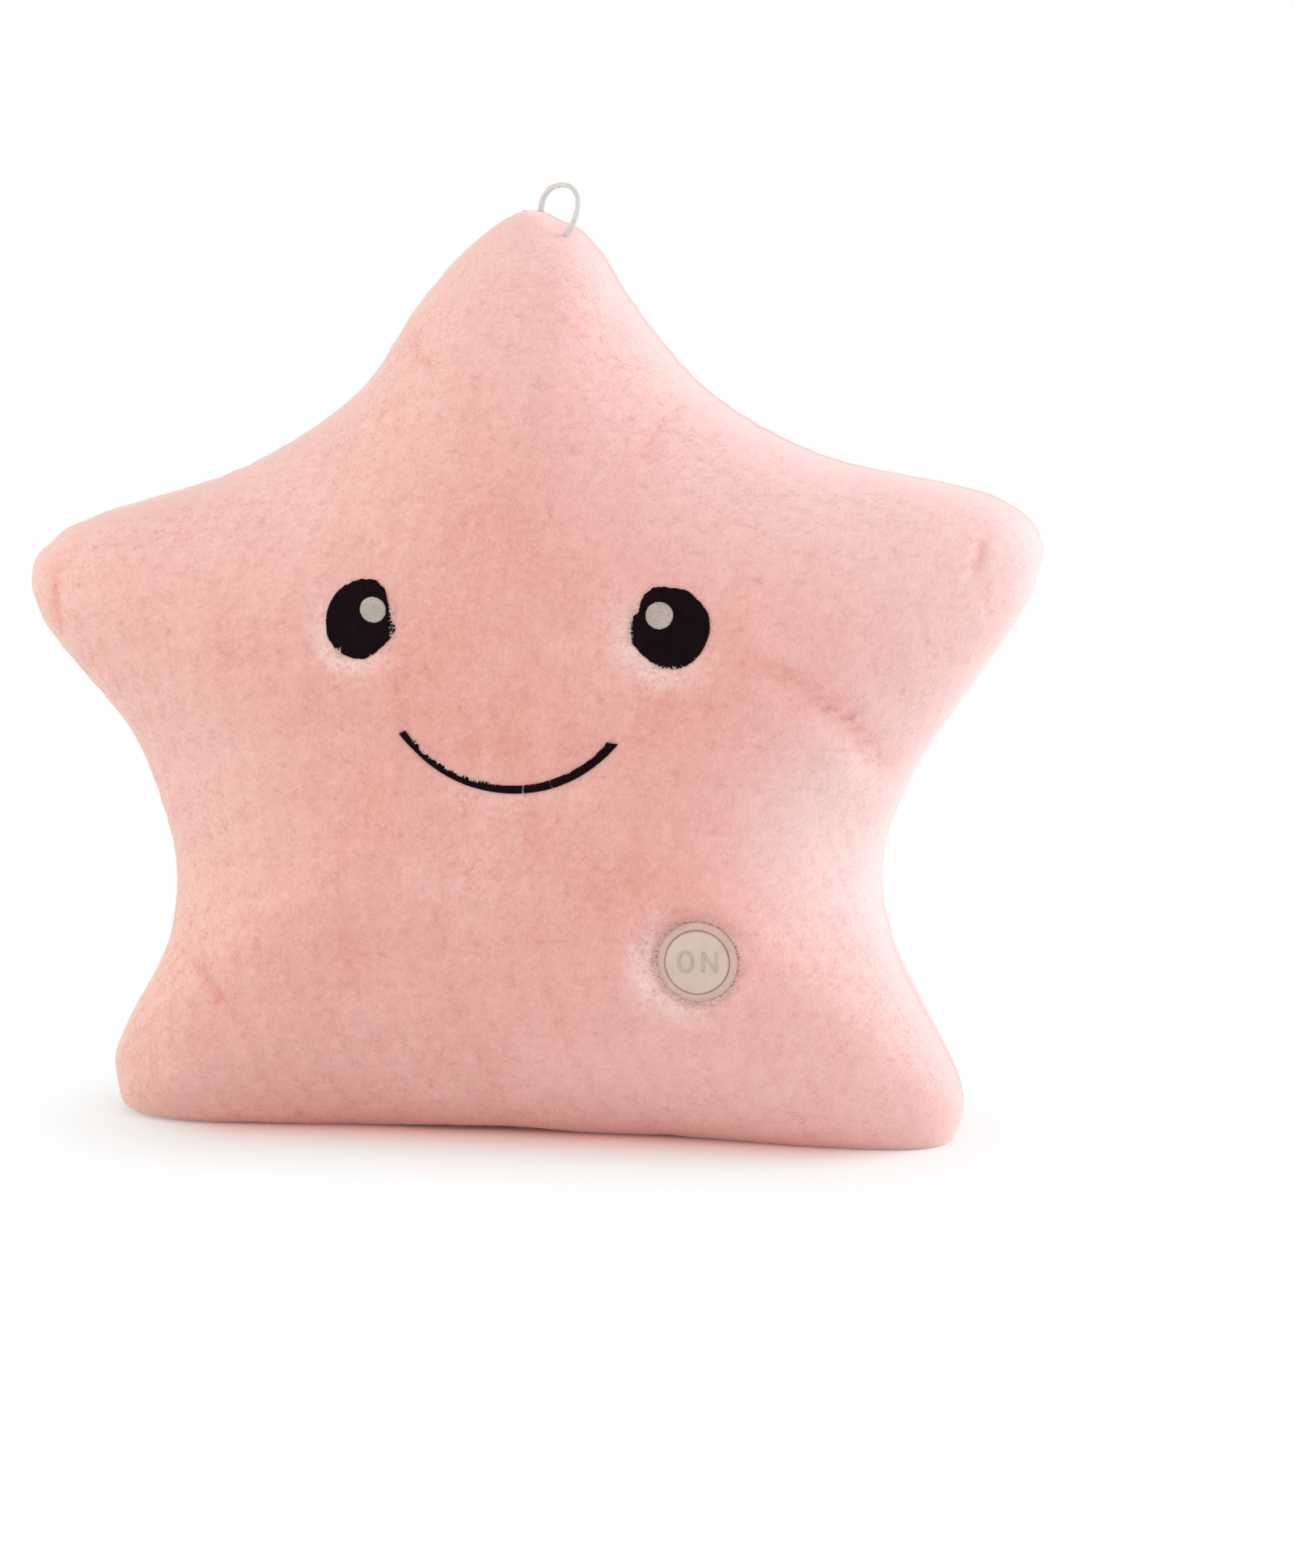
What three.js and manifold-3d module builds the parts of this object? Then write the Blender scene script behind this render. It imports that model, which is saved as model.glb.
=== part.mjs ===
// A star-shaped plush night light, in millimetres.
// X runs to the viewer's right, the face looks along -Y and Z points up. The star stands on the plane z = 0,
// and the seam between its front and back skins lies in the plane y = 0.

import * as THREE from 'three';
import { mergeVertices } from 'three/addons/utils/BufferGeometryUtils.js';
import Module from 'manifold-3d';

const wasm = await Module();
wasm.setup();

// Fits and cuts
const GAP = 0.3; // between pieces that touch
const OVERRUN = 4; // by which a cutter passes the faces that it cuts
const WELD = 0.0001; // corners closer than this are one corner

// Star pillow
const STAR_WIDTH = 364;
const STAR_HEIGHT = 330;
const MIDDLE_SHARE = 0.46; // of the height, at which the crown has its middle
const FRONT_CROWN = 53.6; // depth of the front from the seam to its middle
const BACK_CROWN = 56.1;
const POINT_RADIUS = 20; // round end of each point of the star
const SKIN = 2; // plush cloth with its backing
const SEAM_ALLOWANCE = 6; // cloth turned in at the seam
const END_TURN = 55; // degrees each side of a point's heading that its round end covers
const CROWN_FULLNESS = 2.2; // exponent along the radius
const CROWN_ROUNDNESS = 2.3; // exponent of the section
const SAG_SHARE = 0.05; // how far the inner surfaces still dip where the star is pressed on the floor

// Middle of each point's round end, clockwise from the top, as shares of half the width and of the height
const POINT_SHARES = [[0.0055, 0.936], [0.901, 0.642], [0.764, 0.036], [-0.758, 0.036], [-0.898, 0.594]];

// What the outline passes through after each point, in the same shares
const VALLEY_SHARES = [
  [[0.363, 0.809], [0.571, 0.748]],
  [[0.764, 0.403], [0.706, 0.306], [0.731, 0.212]],
  [[0.302, -0.009], [-0.275, -0.009]],
  [[-0.736, 0.206], [-0.725, 0.303], [-0.802, 0.418]],
  [[-0.56, 0.724], [-0.33, 0.809], [-0.214, 0.903]],
];
const STEPS_PER_KNOT = 2;
const CROWN_STEPS = 6;

// Stuffing
const POINT_CUT_SHARE = 0.64; // of the reach of a point, where its own stuffing begins

// Face
const THREAD_EDGE = 0.7; // height of the embroidery at its edge
const THREAD_CROWN = 1.2; // and in its middle
const LEFT_EYE = { across: -50.4, up: 191, width: 25.4, height: 27.8 };
const RIGHT_EYE = { across: 57.6, up: 190.6, width: 27.4, height: 28.5 };
const GLINT_DIAMETER = 9.8;
const GLINT_THREAD = 0.6;
const LEFT_GLINT = { across: -45.7, up: 194.5 };
const RIGHT_GLINT = { across: 54, up: 194.6 };
const EYE_SPOKES = 20;
const EYE_RING_SHARE = 0.6;
const SMILE_ACROSS = 2;
const SMILE_UP = 180; // height of the middle of the smile's arc
const SMILE_RADIUS = 47.3;
const SMILE_TURN = 52; // degrees each side of straight down
const SMILE_WIDTH = 2.6;
const SMILE_STATIONS = 14;

// Push button
const BUTTON_ACROSS = 67;
const BUTTON_UP = 73;
const BUTTON_SINK = 3; // how deep the plush is drawn in under the bezel
const BEZEL_DIAMETER = 28.4;
const BEZEL_FLANGE = 1.8;
const BEZEL_ROUND = 0.5;
const NECK_DIAMETER = 26;
const NECK_LENGTH = 8; // behind the plush
const CAP_DIAMETER = 22;
const CAP_PROUD = 0.9; // how far the cap stands out of the bezel
const CAP_ROUND = 0.6;
const CAP_WALL = 1.6;
const CAP_FOOT = 0.6; // rim that keeps the cap in
const CAP_FOOT_HEIGHT = 1;
const LEDGE_HEIGHT = 3; // of the bezel's bore in front of the cap's rim
const PLUNGER_DIAMETER = 3.6;
const HOUSING_DIAMETER = 30;
const HOUSING_RIM = 2;
const HOUSING_RIM_HEIGHT = 1.5;
const HOUSING_DEPTH = 14;
const HOUSING_WALL = 1.5;
const LEAD_HOLE_DIAMETER = 4;
const SWITCH_BOARD_DIAMETER = 25;
const BOARD_THICKNESS = 1.2;
const SWITCH_SIDE = 6;
const SWITCH_HEIGHT = 3.4;
const STEM_DIAMETER = 3.4;
const STEM_PROUD = 1.6;
const STEM_HELD = 1.5; // length of stem inside the switch
const ROUND_SIDES = 24;

// Zip in the centre seam of the back
const ZIP_DROP = 2.8; // from the middle of the crown down to the middle of the zip
const ZIP_LENGTH = 102;
const TAPE_WIDTH = 12;
const TAPE_THICKNESS = 0.6;
const TAPE_OVERHANG = 6; // tape beyond each end of the teeth
const TOOTH_PITCH = 3.4;
const TEETH_THICKNESS = 2.6;
const TEETH_HALF_WIDTH = 2.2;
const SPINE_WIDTH = 1;
const TOOTH_CROSSING = 0.7; // how far a tooth reaches past the middle
const STOP_HEIGHT = 3;
const WINDOW_HALF_WIDTH = 5; // of the slot between the plush edges
const WING_LENGTH = 9.5;
const WING_WIDTH = 7.6;
const WING_TAIL_WIDTH = 6.4;
const WING_THICKNESS = 1.3;
const WING_FLANGE = 1;
const BAIL_WIDTH = 1.6;
const BAIL_WALL = 0.8;
const BAIL_SIDES = 12;
const BAIL_RISE = 0.4; // from the wing to the hole's lowest edge
const PULL_BAR_DIAMETER = 1.2;
const PULL_THICKNESS = 1.3;
const PULL_ARM = 1.2;
const PULL_EYE = 3.8; // height of the eye below the bar
const PULL_LENGTH = 22;
const PULL_WIDTH = 6;
const PULL_EYE_WIDTH = 2.2;

// Battery case with three AA cells
const CELL_DIAMETER = 14.5;
const CELL_LENGTH = 50.5;
const CELL_PITCH = 15.2;
const CELL_COUNT = 3;
const NUB_DIAMETER = 5.5;
const NUB_HEIGHT = 1;
const CELL_ROUND = 0.8;
const CONTACT_THICKNESS = 0.5;
const CONTACT_WIDTH = 11;
const SPRING_LENGTH = 4.2;
const SPRING_WIRE = 0.8;
const SPRING_WIDE_DIAMETER = 8.6;
const SPRING_NARROW_DIAMETER = 4.8;
const SPRING_TURNS = 3;
const SPRING_STEPS_PER_TURN = 8;
const SPRING_SIDES = 5;
const CASE_WALL = 2.2;
const CELL_BAY_DEPTH = 15.6;
const DIVIDER = 1.6;
const BOARD_BAY_DEPTH = 8;
const BASE_THICKNESS = 2;
const POST_SIDE = 3;
const POST_INSET = 2;
const LID_THICKNESS = 1.8;
const LID_TONGUE = 0.8; // how far the lid's edges run in the case's grooves
const RAIL_LIP = 1; // case wall behind the lid's edges
const LID_RIB_WIDTH = 1.2;
const LID_RIB_HEIGHT = 0.6;
const LID_RIB_LENGTH = 16;
const LID_RIB_PITCH = 3;
const LID_RIB_COUNT = 3;
const LID_RIB_INSET = 8;
const CASE_TO_SLIDER = 1.5;
const BOARD_WIDTH = 38;
const BOARD_LENGTH = 50;
const CHIP_SIDE = 9;
const CHIP_HEIGHT = 1.6;
const CHIP_ACROSS = 11;
const CHIP_DOWN = 14;

// Pocket round the case
const LINING = 0.8;
const POCKET_EASE = 0.5; // between the case and the lining
const POCKET_END = 5; // lining beyond each end of the teeth

// Lamps, one in the root of each point
const LAMP_SHARE = 0.44; // of the reach of a point, where its lamp begins
const BULB_DIAMETER = 5;
const BULB_LENGTH = 8.6;
const BULB_RIM = 0.4;
const BULB_RIM_HEIGHT = 1;
const DIFFUSER_DIAMETER = 10;
const DIFFUSER_LENGTH = 15;
const DIFFUSER_WALL = 1.8;
const LAMP_EASE = 2; // room behind a lamp's base
const LAMP_SIDES = 12;
const LEAD_DIAMETER = 1.6;
const LEAD_SIDES = 8;
const LEAD_STEPS = 8;
const LEAD_HUB_RADIUS = 3.8; // ring on which the leads leave the case
const LEAD_HUB_HOLE_DIAMETER = 12;
const LEAD_BEND_Y = 5; // where the leads turn outwards
const LEAD_STRAIGHT = 10; // straight run into a lamp
const SWITCH_LEAD_Y = -9; // the switch lead passes in front of the lamps' leads

// Hanging loop, sewn in at the top of the seam and in the plush below it
const LOOP_DIAMETER = 2.2;
const LOOP_SIDES = 8;
const LOOP_STEPS = 18;
const LOOP_ROUTE = [
  [5, 0, 329.3], [5.9, -0.4, 333.6], [8.8, -1.8, 337.2], [13.6, -4.2, 338.6], [17.6, -7.4, 337.4],
  [19.8, -10.4, 334.2], [19.9, -12.7, 329.6], [18.2, -13.8, 324.9], [15.3, -13, 320.4],
];

// Surfaces
const PLUSH = finish(0xf0bab0, 0.95);
const STUFFING = finish(0xf4f2ee, 1);
const BLACK_THREAD = finish(0x140f12, 0.6);
const PALE_THREAD = finish(0xc8c3bb, 0.6);
const BUTTON_PLASTIC = finish(0xd2c0b0, 0.4);
const BEZEL_PLASTIC = finish(0xd7bab2, 0.4);
const WHITE_PLASTIC = finish(0xe9e7e2, 0.5);
const BLACK_PLASTIC = finish(0x1b1b1d, 0.5);
const BOARD_GREEN = finish(0x1f6b3c, 0.5);
const ZIP_CLOTH = finish(0xe7aba1, 0.9);
const ZIP_TEETH = finish(0xe3a89d, 0.4);
const ZIP_METAL = finish(0xc9c9cc, 0.25, 1);
const CONTACT_METAL = finish(0xbfc1c4, 0.3, 1);
const CELL_WRAP = finish(0x2c4a7a, 0.35);
const LINING_CLOTH = finish(0xf3ece6, 0.9);
const BULB_RESIN = finish(0xf6f3ee, 0.1);
const DIFFUSER = finish(0xf7f5f2, 0.6);
const LEAD_COVER = finish(0xe8e3dc, 0.5);
const LOOP_FILAMENT = finish(0xe9e9e7, 0.3);

const rad = THREE.MathUtils.degToRad;
const MIDDLE = new THREE.Vector2(0, MIDDLE_SHARE * STAR_HEIGHT);
const OUTLINE = starOutline();
const SHORTEST_REACH = Math.min(...OUTLINE.map((corner) => corner.distanceTo(MIDDLE)));
const INNER_SHARE = 1 - SKIN / SHORTEST_REACH;
const ALLOWANCE_SHARE = INNER_SHARE - SEAM_ALLOWANCE / SHORTEST_REACH;
const GAP_SHARE = GAP / SHORTEST_REACH;

// Zip, pocket and case sizes that follow from those above
const zipUp = MIDDLE.y - ZIP_DROP;
const zipBottom = zipUp - ZIP_LENGTH / 2;
const zipTop = zipUp + ZIP_LENGTH / 2;
const tapeInner = TEETH_HALF_WIDTH + GAP;
const tapeOuter = tapeInner + TAPE_WIDTH;
const caseWidth = CELL_COUNT * CELL_PITCH + 2 * CASE_WALL;
const pocketHalfWidth = caseWidth / 2 + POCKET_EASE + LINING;
const pocketBottom = zipBottom - POCKET_END - LINING;
const pocketTop = zipTop + POCKET_END + LINING;

// The back is drawn flat as far out as the tapes and the pocket reach
const FLAT_SHARE = Math.max(
  ...[-1, 1].flatMap((side) => [
    starShare(side * tapeOuter, zipBottom - TAPE_OVERHANG),
    starShare(side * tapeOuter, zipTop + TAPE_OVERHANG),
    starShare(side * pocketHalfWidth, pocketBottom),
    starShare(side * pocketHalfWidth, pocketTop),
  ]),
);
const RING_SHARES = ringShares();
const backFlat = crownDepth(FLAT_SHARE, BACK_CROWN);

// Depths of the layers of the zip, inwards from the face of the plush
const tapeFace = backFlat - SKIN - GAP;
const tapeBack = tapeFace - TAPE_THICKNESS;
const teethFace = (tapeFace + tapeBack + TEETH_THICKNESS) / 2;
const teethBack = teethFace - TEETH_THICKNESS;
const outerWingBack = teethFace + GAP;
const outerWingFace = outerWingBack + WING_THICKNESS;
const innerWingFace = teethBack - GAP;
const innerWingBack = innerWingFace - WING_THICKNESS;
const sliderTop = zipTop - STOP_HEIGHT - GAP;
const pinUp = sliderTop - WING_LENGTH / 2;
const bailHole = PULL_BAR_DIAMETER / 2 + GAP;
const pinY = outerWingFace + BAIL_RISE + bailHole;

// Layers of the battery case, inwards from its back
const caseBack = innerWingBack - CASE_TO_SLIDER;
const lidFace = caseBack - RAIL_LIP - GAP;
const lidBack = lidFace - LID_THICKNESS;
const cellBayBack = lidBack - GAP;
const dividerBack = cellBayBack - CELL_BAY_DEPTH;
const dividerFront = dividerBack - DIVIDER;
const caseFront = dividerFront - BOARD_BAY_DEPTH - BASE_THICKNESS;
const bayWidth = CELL_COUNT * CELL_PITCH;
const bayLength = CELL_LENGTH + SPRING_LENGTH + 2 * CONTACT_THICKNESS + 4 * GAP;
const caseLength = bayLength + 2 * CASE_WALL;
const cellY = dividerBack + CELL_BAY_DEPTH / 2;
const boardFront = dividerFront - GAP - BOARD_THICKNESS;
const pocketFront = caseFront - GAP - LINING;

// Layers of the push button, from the plush inwards
const seatY = -(frontDepth(BUTTON_ACROSS, BUTTON_UP) - BUTTON_SINK);
const bezelBack = seatY - GAP;
const bezelFront = bezelBack - BEZEL_FLANGE;
const capFront = bezelFront - CAP_PROUD;
const ledgeBack = bezelFront + LEDGE_HEIGHT;
const capFootFront = ledgeBack + GAP;
const housingFront = seatY + SKIN + GAP;
const housingBack = housingFront + HOUSING_DEPTH;
const switchBoardBack = housingBack - HOUSING_WALL - GAP;
const switchBoardFront = switchBoardBack - BOARD_THICKNESS;
const switchBack = switchBoardFront - GAP;
const switchFront = switchBack - SWITCH_HEIGHT;
const stemFront = switchFront - STEM_PROUD;

// A surface's colour, roughness and share of metal
function finish(color, roughness, metalness = 0) {
  return new THREE.MeshStandardMaterial({ color, roughness, metalness });
}

// The star's outline: a smooth closed curve round the ends of the points and through the valleys
function starOutline() {
  const halfWidth = STAR_WIDTH / 2;
  const knots = [];
  POINT_SHARES.forEach(([acrossShare, upShare], point) => {
    const end = new THREE.Vector2(acrossShare * halfWidth, upShare * STAR_HEIGHT);
    const heading = end.clone().sub(MIDDLE).angle();
    for (const turn of [END_TURN, 0, -END_TURN]) {
      const angle = heading + rad(turn);
      const knot = new THREE.Vector2(Math.cos(angle), Math.sin(angle)).multiplyScalar(POINT_RADIUS).add(end);
      knots.push(new THREE.Vector3(knot.x, knot.y, 0));
    }
    for (const [across, up] of VALLEY_SHARES[point]) {
      knots.push(new THREE.Vector3(across * halfWidth, up * STAR_HEIGHT, 0));
    }
  });
  const curve = new THREE.CatmullRomCurve3(knots, true, 'centripetal');
  const corners = curve.getPoints(knots.length * STEPS_PER_KNOT).slice(0, -1);
  const xs = corners.map((corner) => corner.x);
  const left = Math.min(...xs);
  const right = Math.max(...xs);
  const top = Math.max(...corners.map((corner) => corner.y));
  return corners.map((corner) => new THREE.Vector2(
    (corner.x - (left + right) / 2) * STAR_WIDTH / (right - left),
    corner.y * STAR_HEIGHT / top,
  ));
}

// How far a place lies from the middle of the crown towards the seam, from 0 to 1
function starShare(across, up) {
  const way = new THREE.Vector2(across, up).sub(MIDDLE);
  if (way.length() === 0) return 0;
  let share = 0;
  OUTLINE.forEach((corner, i) => {
    const from = corner.clone().sub(MIDDLE);
    const edge = OUTLINE[(i + 1) % OUTLINE.length].clone().sub(corner);
    const turn = way.cross(edge);
    const along = from.cross(way) / turn;
    const reach = from.cross(edge) / turn;
    if (along >= 0 && along <= 1 && reach > 0) share = Math.max(share, 1 / reach);
  });
  return share;
}

// Depth of a crowned skin from the seam plane
function crownDepth(share, crown) {
  return crown * Math.max(0, 1 - share ** CROWN_FULLNESS) ** (1 / CROWN_ROUNDNESS);
}

function frontDepth(across, up) {
  return crownDepth(starShare(across, up), FRONT_CROWN);
}

// Shares of the rings that a skin is made of, from the seam to the middle. One ring goes round the flat of the
// back.
function ringShares() {
  const last = Math.acos(FLAT_SHARE);
  const steps = Array.from({ length: CROWN_STEPS + 1 }, (_, i) => Math.cos(last * i / CROWN_STEPS));
  return [...steps, FLAT_SHARE / 2, 0];
}

// One ring of the star, pressed level where it would go below the floor
function starRing(share, y, floor, sagShare) {
  if (share <= 0) return [new THREE.Vector3(MIDDLE.x, y, MIDDLE.y)];
  return OUTLINE.map((corner) => {
    const place = MIDDLE.clone().lerp(corner, share);
    const up = place.y > floor ? place.y : floor + (place.y - floor) * sagShare;
    return new THREE.Vector3(place.x, y, up);
  });
}

// A closed surface through rings of corners. A ring of one corner is a pole, and each face between two rings is
// split along its shorter diagonal.
function loft(rings) {
  const positions = [];
  const starts = rings.map((ring) => {
    const start = positions.length / 3;
    ring.forEach((corner) => positions.push(corner.x, corner.y, corner.z));
    return start;
  });
  const triangles = [];
  for (let i = 1; i < rings.length; i++) {
    const near = rings[i - 1];
    const far = rings[i];
    const count = Math.max(near.length, far.length);
    for (let k = 0; k < count; k++) {
      const next = (k + 1) % count;
      const nearHere = starts[i - 1] + (k % near.length);
      const nearNext = starts[i - 1] + (next % near.length);
      const farHere = starts[i] + (k % far.length);
      const farNext = starts[i] + (next % far.length);
      const here = near[k % near.length].distanceTo(far[next % far.length]);
      const across = near[next % near.length].distanceTo(far[k % far.length]);
      if (near.length === 1) triangles.push(nearHere, farNext, farHere);
      else if (far.length === 1) triangles.push(nearHere, nearNext, farHere);
      else if (here < across) triangles.push(nearHere, nearNext, farNext, nearHere, farNext, farHere);
      else triangles.push(nearHere, nearNext, farHere, nearNext, farNext, farHere);
    }
  }
  const geometry = new THREE.BufferGeometry();
  geometry.setAttribute('position', new THREE.Float32BufferAttribute(positions, 3));
  geometry.setIndex(triangles);
  return geometry;
}

// A geometry as a solid that can be cut: corners welded, flat triangles dropped, faces outwards
function solid(geometry) {
  const bare = geometry.clone();
  bare.deleteAttribute('normal');
  bare.deleteAttribute('uv');
  const welded = mergeVertices(bare, WELD);
  const corners = welded.attributes.position.array;
  const index = welded.index.array;
  const triangles = [];
  let volume = 0;
  for (let i = 0; i < index.length; i += 3) {
    const [a, b, c] = index.slice(i, i + 3);
    if (a === b || b === c || c === a) continue;
    triangles.push(a, b, c);
    const [p, q, r] = [a, b, c].map((k) => new THREE.Vector3().fromArray(corners, 3 * k));
    volume += p.dot(q.cross(r));
  }
  if (volume < 0) triangles.reverse();
  return new wasm.Manifold(new wasm.Mesh({
    numProp: 3,
    vertProperties: new Float32Array(corners),
    triVerts: new Uint32Array(triangles),
  }));
}

const join = (...solids) => solids.reduce((whole, next) => whole.add(next));
const cut = (body, ...tools) => tools.reduce((left, tool) => left.subtract(tool), body);

// A named piece of the light
function piece(name, body, material) {
  const { vertProperties, triVerts } = body.getMesh();
  const geometry = new THREE.BufferGeometry();
  geometry.setAttribute('position', new THREE.BufferAttribute(vertProperties, 3));
  geometry.setIndex(new THREE.BufferAttribute(triVerts, 1));
  geometry.computeVertexNormals();
  const mesh = new THREE.Mesh(geometry, material);
  mesh.name = name;
  return mesh;
}

// A block between two opposite corners
function block(x0, x1, y0, y1, z0, z1) {
  const geometry = new THREE.BoxGeometry(x1 - x0, y1 - y0, z1 - z0);
  return solid(geometry.translate((x0 + x1) / 2, (y0 + y1) / 2, (z0 + z1) / 2));
}

// A block that is centred on a place across and up
function blockAt(across, up, width, height, y0, y1) {
  return block(across - width / 2, across + width / 2, y0, y1, up - height / 2, up + height / 2);
}

// A round rod along Y
function rod(across, up, diameter, y0, y1, sides = ROUND_SIDES) {
  const geometry = new THREE.CylinderGeometry(diameter / 2, diameter / 2, y1 - y0, sides);
  return solid(geometry.translate(across, (y0 + y1) / 2, up));
}

// A turned piece about the Y axis, from a profile of radius and depth
function turned(across, up, profile, sides = ROUND_SIDES) {
  const geometry = new THREE.LatheGeometry(profile.map(([r, y]) => new THREE.Vector2(r, y)), sides);
  return solid(geometry.translate(across, 0, up));
}

// A flat shape, drawn across and up, given its thickness between two depths
function plate(shape, y0, y1) {
  const geometry = new THREE.ExtrudeGeometry(shape, { depth: y1 - y0, bevelEnabled: false });
  return solid(geometry.rotateX(Math.PI / 2).translate(0, y1, 0));
}

function polygon(corners) {
  return new THREE.Shape(corners.map(([x, z]) => new THREE.Vector2(x, z)));
}

// A round tube along a path
function tube(points, diameter, sides, steps) {
  const path = new THREE.CatmullRomCurve3(points, false, 'centripetal');
  const section = new THREE.Shape();
  for (let k = 0; k < sides; k++) {
    const angle = 2 * Math.PI * k / sides;
    const [x, y] = [Math.cos(angle) * diameter / 2, Math.sin(angle) * diameter / 2];
    if (k === 0) section.moveTo(x, y);
    else section.lineTo(x, y);
  }
  return solid(new THREE.ExtrudeGeometry(section, { steps, extrudePath: path, bevelEnabled: false }));
}

// Rings of a skin of one side: over the crown, round the seam allowance and back under the crown
function skinSolid(side, crown, deepest) {
  const faceY = (share) => side * Math.max(Math.min(crownDepth(share, crown), deepest), GAP / 2);
  const allowanceY = GAP / 2 + SKIN;
  const thinner = (deepest - SKIN) / deepest;
  const backY = (share) => side * Math.max(Math.abs(faceY(share)) * thinner, allowanceY);
  const outwards = [...RING_SHARES].reverse();
  return solid(loft([
    ...outwards.map((share) => starRing(share, faceY(share), 0, 0)),
    starRing(ALLOWANCE_SHARE, side * GAP / 2, SKIN, SAG_SHARE),
    starRing(ALLOWANCE_SHARE, side * allowanceY, SKIN, SAG_SHARE),
    ...RING_SHARES.map((share) => starRing(share * INNER_SHARE, backY(share), SKIN, SAG_SHARE)),
  ]));
}

// The whole crowned volume in front of the seam plane
function frontVolume() {
  const outwards = [...RING_SHARES].reverse();
  return solid(loft([
    ...outwards.map((share) => starRing(share, -crownDepth(share, FRONT_CROWN), 0, 0)),
    starRing(0, 0, 0, 0),
  ]));
}

// The front skin: drawn in to a flat seat round the push button, with a hole for the bezel's neck
function frontPanel() {
  const wellDiameter = BEZEL_DIAMETER + 2 * GAP;
  const deepest = -FRONT_CROWN - OVERRUN;
  const seat = rod(BUTTON_ACROSS, BUTTON_UP, wellDiameter + 2 * SKIN, deepest, seatY + SKIN);
  const well = rod(BUTTON_ACROSS, BUTTON_UP, wellDiameter, deepest, seatY);
  const hole = rod(BUTTON_ACROSS, BUTTON_UP, NECK_DIAMETER + 2 * GAP, deepest, seatY + SKIN + OVERRUN);
  const housingRoom = HOUSING_DIAMETER + 2 * (HOUSING_RIM + GAP);
  const behind = rod(BUTTON_ACROSS, BUTTON_UP, housingRoom, seatY + SKIN, 0);
  const seated = join(skinSolid(-1, FRONT_CROWN, FRONT_CROWN), seat.intersect(frontVolume()));
  return cut(seated, behind, well, hole);
}

// One half of the back skin, with its side of the slot for the zip
function backPanel(side) {
  const whole = skinSolid(1, BACK_CROWN, backFlat);
  const [near, far] = [GAP / 2, STAR_WIDTH / 2 + OVERRUN];
  const half = block(
    Math.min(side * near, side * far), Math.max(side * near, side * far),
    -OVERRUN, BACK_CROWN + OVERRUN, -OVERRUN, STAR_HEIGHT + OVERRUN,
  );
  const window = block(
    -WINDOW_HALF_WIDTH, WINDOW_HALF_WIDTH, 0, BACK_CROWN + OVERRUN,
    zipBottom - STOP_HEIGHT - 2 * GAP, zipTop + GAP,
  );
  return cut(whole.intersect(half), window);
}

// The space inside the skins, clear of the seam allowances
function stuffingWhole() {
  const edge = INNER_SHARE - GAP_SHARE;
  const lip = ALLOWANCE_SHARE - GAP_SHARE;
  const lipY = GAP / 2 + SKIN + GAP;
  const floor = SKIN + GAP;
  const halfRings = (side, crown, deepest) => RING_SHARES.map((share) => {
    const depth = Math.min(crownDepth(share, crown), deepest) * (deepest - SKIN) / deepest - GAP;
    return starRing(share * edge, side * Math.max(depth, lipY), floor, SAG_SHARE);
  });
  return solid(loft([
    ...halfRings(-1, FRONT_CROWN, FRONT_CROWN).reverse(),
    starRing(lip, -lipY, floor, SAG_SHARE),
    starRing(lip, lipY, floor, SAG_SHARE),
    ...halfRings(1, BACK_CROWN, backFlat),
  ]));
}

// Which way each point of the star heads, and how far it reaches
function pointHeadings() {
  return POINT_SHARES.map(([acrossShare, upShare]) => {
    const end = new THREE.Vector2(acrossShare * STAR_WIDTH / 2, upShare * STAR_HEIGHT).sub(MIDDLE);
    return { angle: end.angle(), reach: end.length() + POINT_RADIUS };
  });
}

// Everything that lies further than a distance out along a heading
function beyond(angle, distance) {
  const size = STAR_WIDTH + STAR_HEIGHT;
  const geometry = new THREE.BoxGeometry(size, size, size).translate(distance + size / 2, 0, 0);
  return solid(geometry.rotateY(-angle).translate(MIDDLE.x, 0, MIDDLE.y));
}

// The stuffing of each point and of the body, with room for what lies inside
function stuffing(hollows) {
  let body = stuffingWhole();
  const points = pointHeadings().map(({ angle, reach }) => {
    const point = body.intersect(beyond(angle, reach * POINT_CUT_SHARE + GAP / 2));
    body = body.subtract(beyond(angle, reach * POINT_CUT_SHARE - GAP / 2));
    return point;
  });
  return { points, body: cut(body, ...hollows) };
}

// A patch of embroidery on the front: an ellipse that follows the crown
function threadOval({ across, up, width, height }, lift, edge, crown) {
  const ring = (share, rise) => Array.from({ length: EYE_SPOKES }, (_, k) => {
    const angle = 2 * Math.PI * k / EYE_SPOKES;
    const x = across + share * Math.cos(angle) * width / 2;
    const z = up + share * Math.sin(angle) * height / 2;
    return new THREE.Vector3(x, -frontDepth(x, z) - lift - rise, z);
  });
  const pole = (rise) => [new THREE.Vector3(across, -frontDepth(across, up) - lift - rise, up)];
  return solid(loft([
    pole(0), ring(EYE_RING_SHARE, 0), ring(1, 0), ring(1, edge), ring(EYE_RING_SHARE, crown), pole(crown),
  ]));
}

const eye = (place) => threadOval(place, GAP, THREAD_EDGE, THREAD_CROWN);
const glint = (place) => threadOval(
  { ...place, width: GLINT_DIAMETER, height: GLINT_DIAMETER },
  2 * GAP + THREAD_CROWN, GLINT_THREAD / 2, GLINT_THREAD,
);

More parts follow.
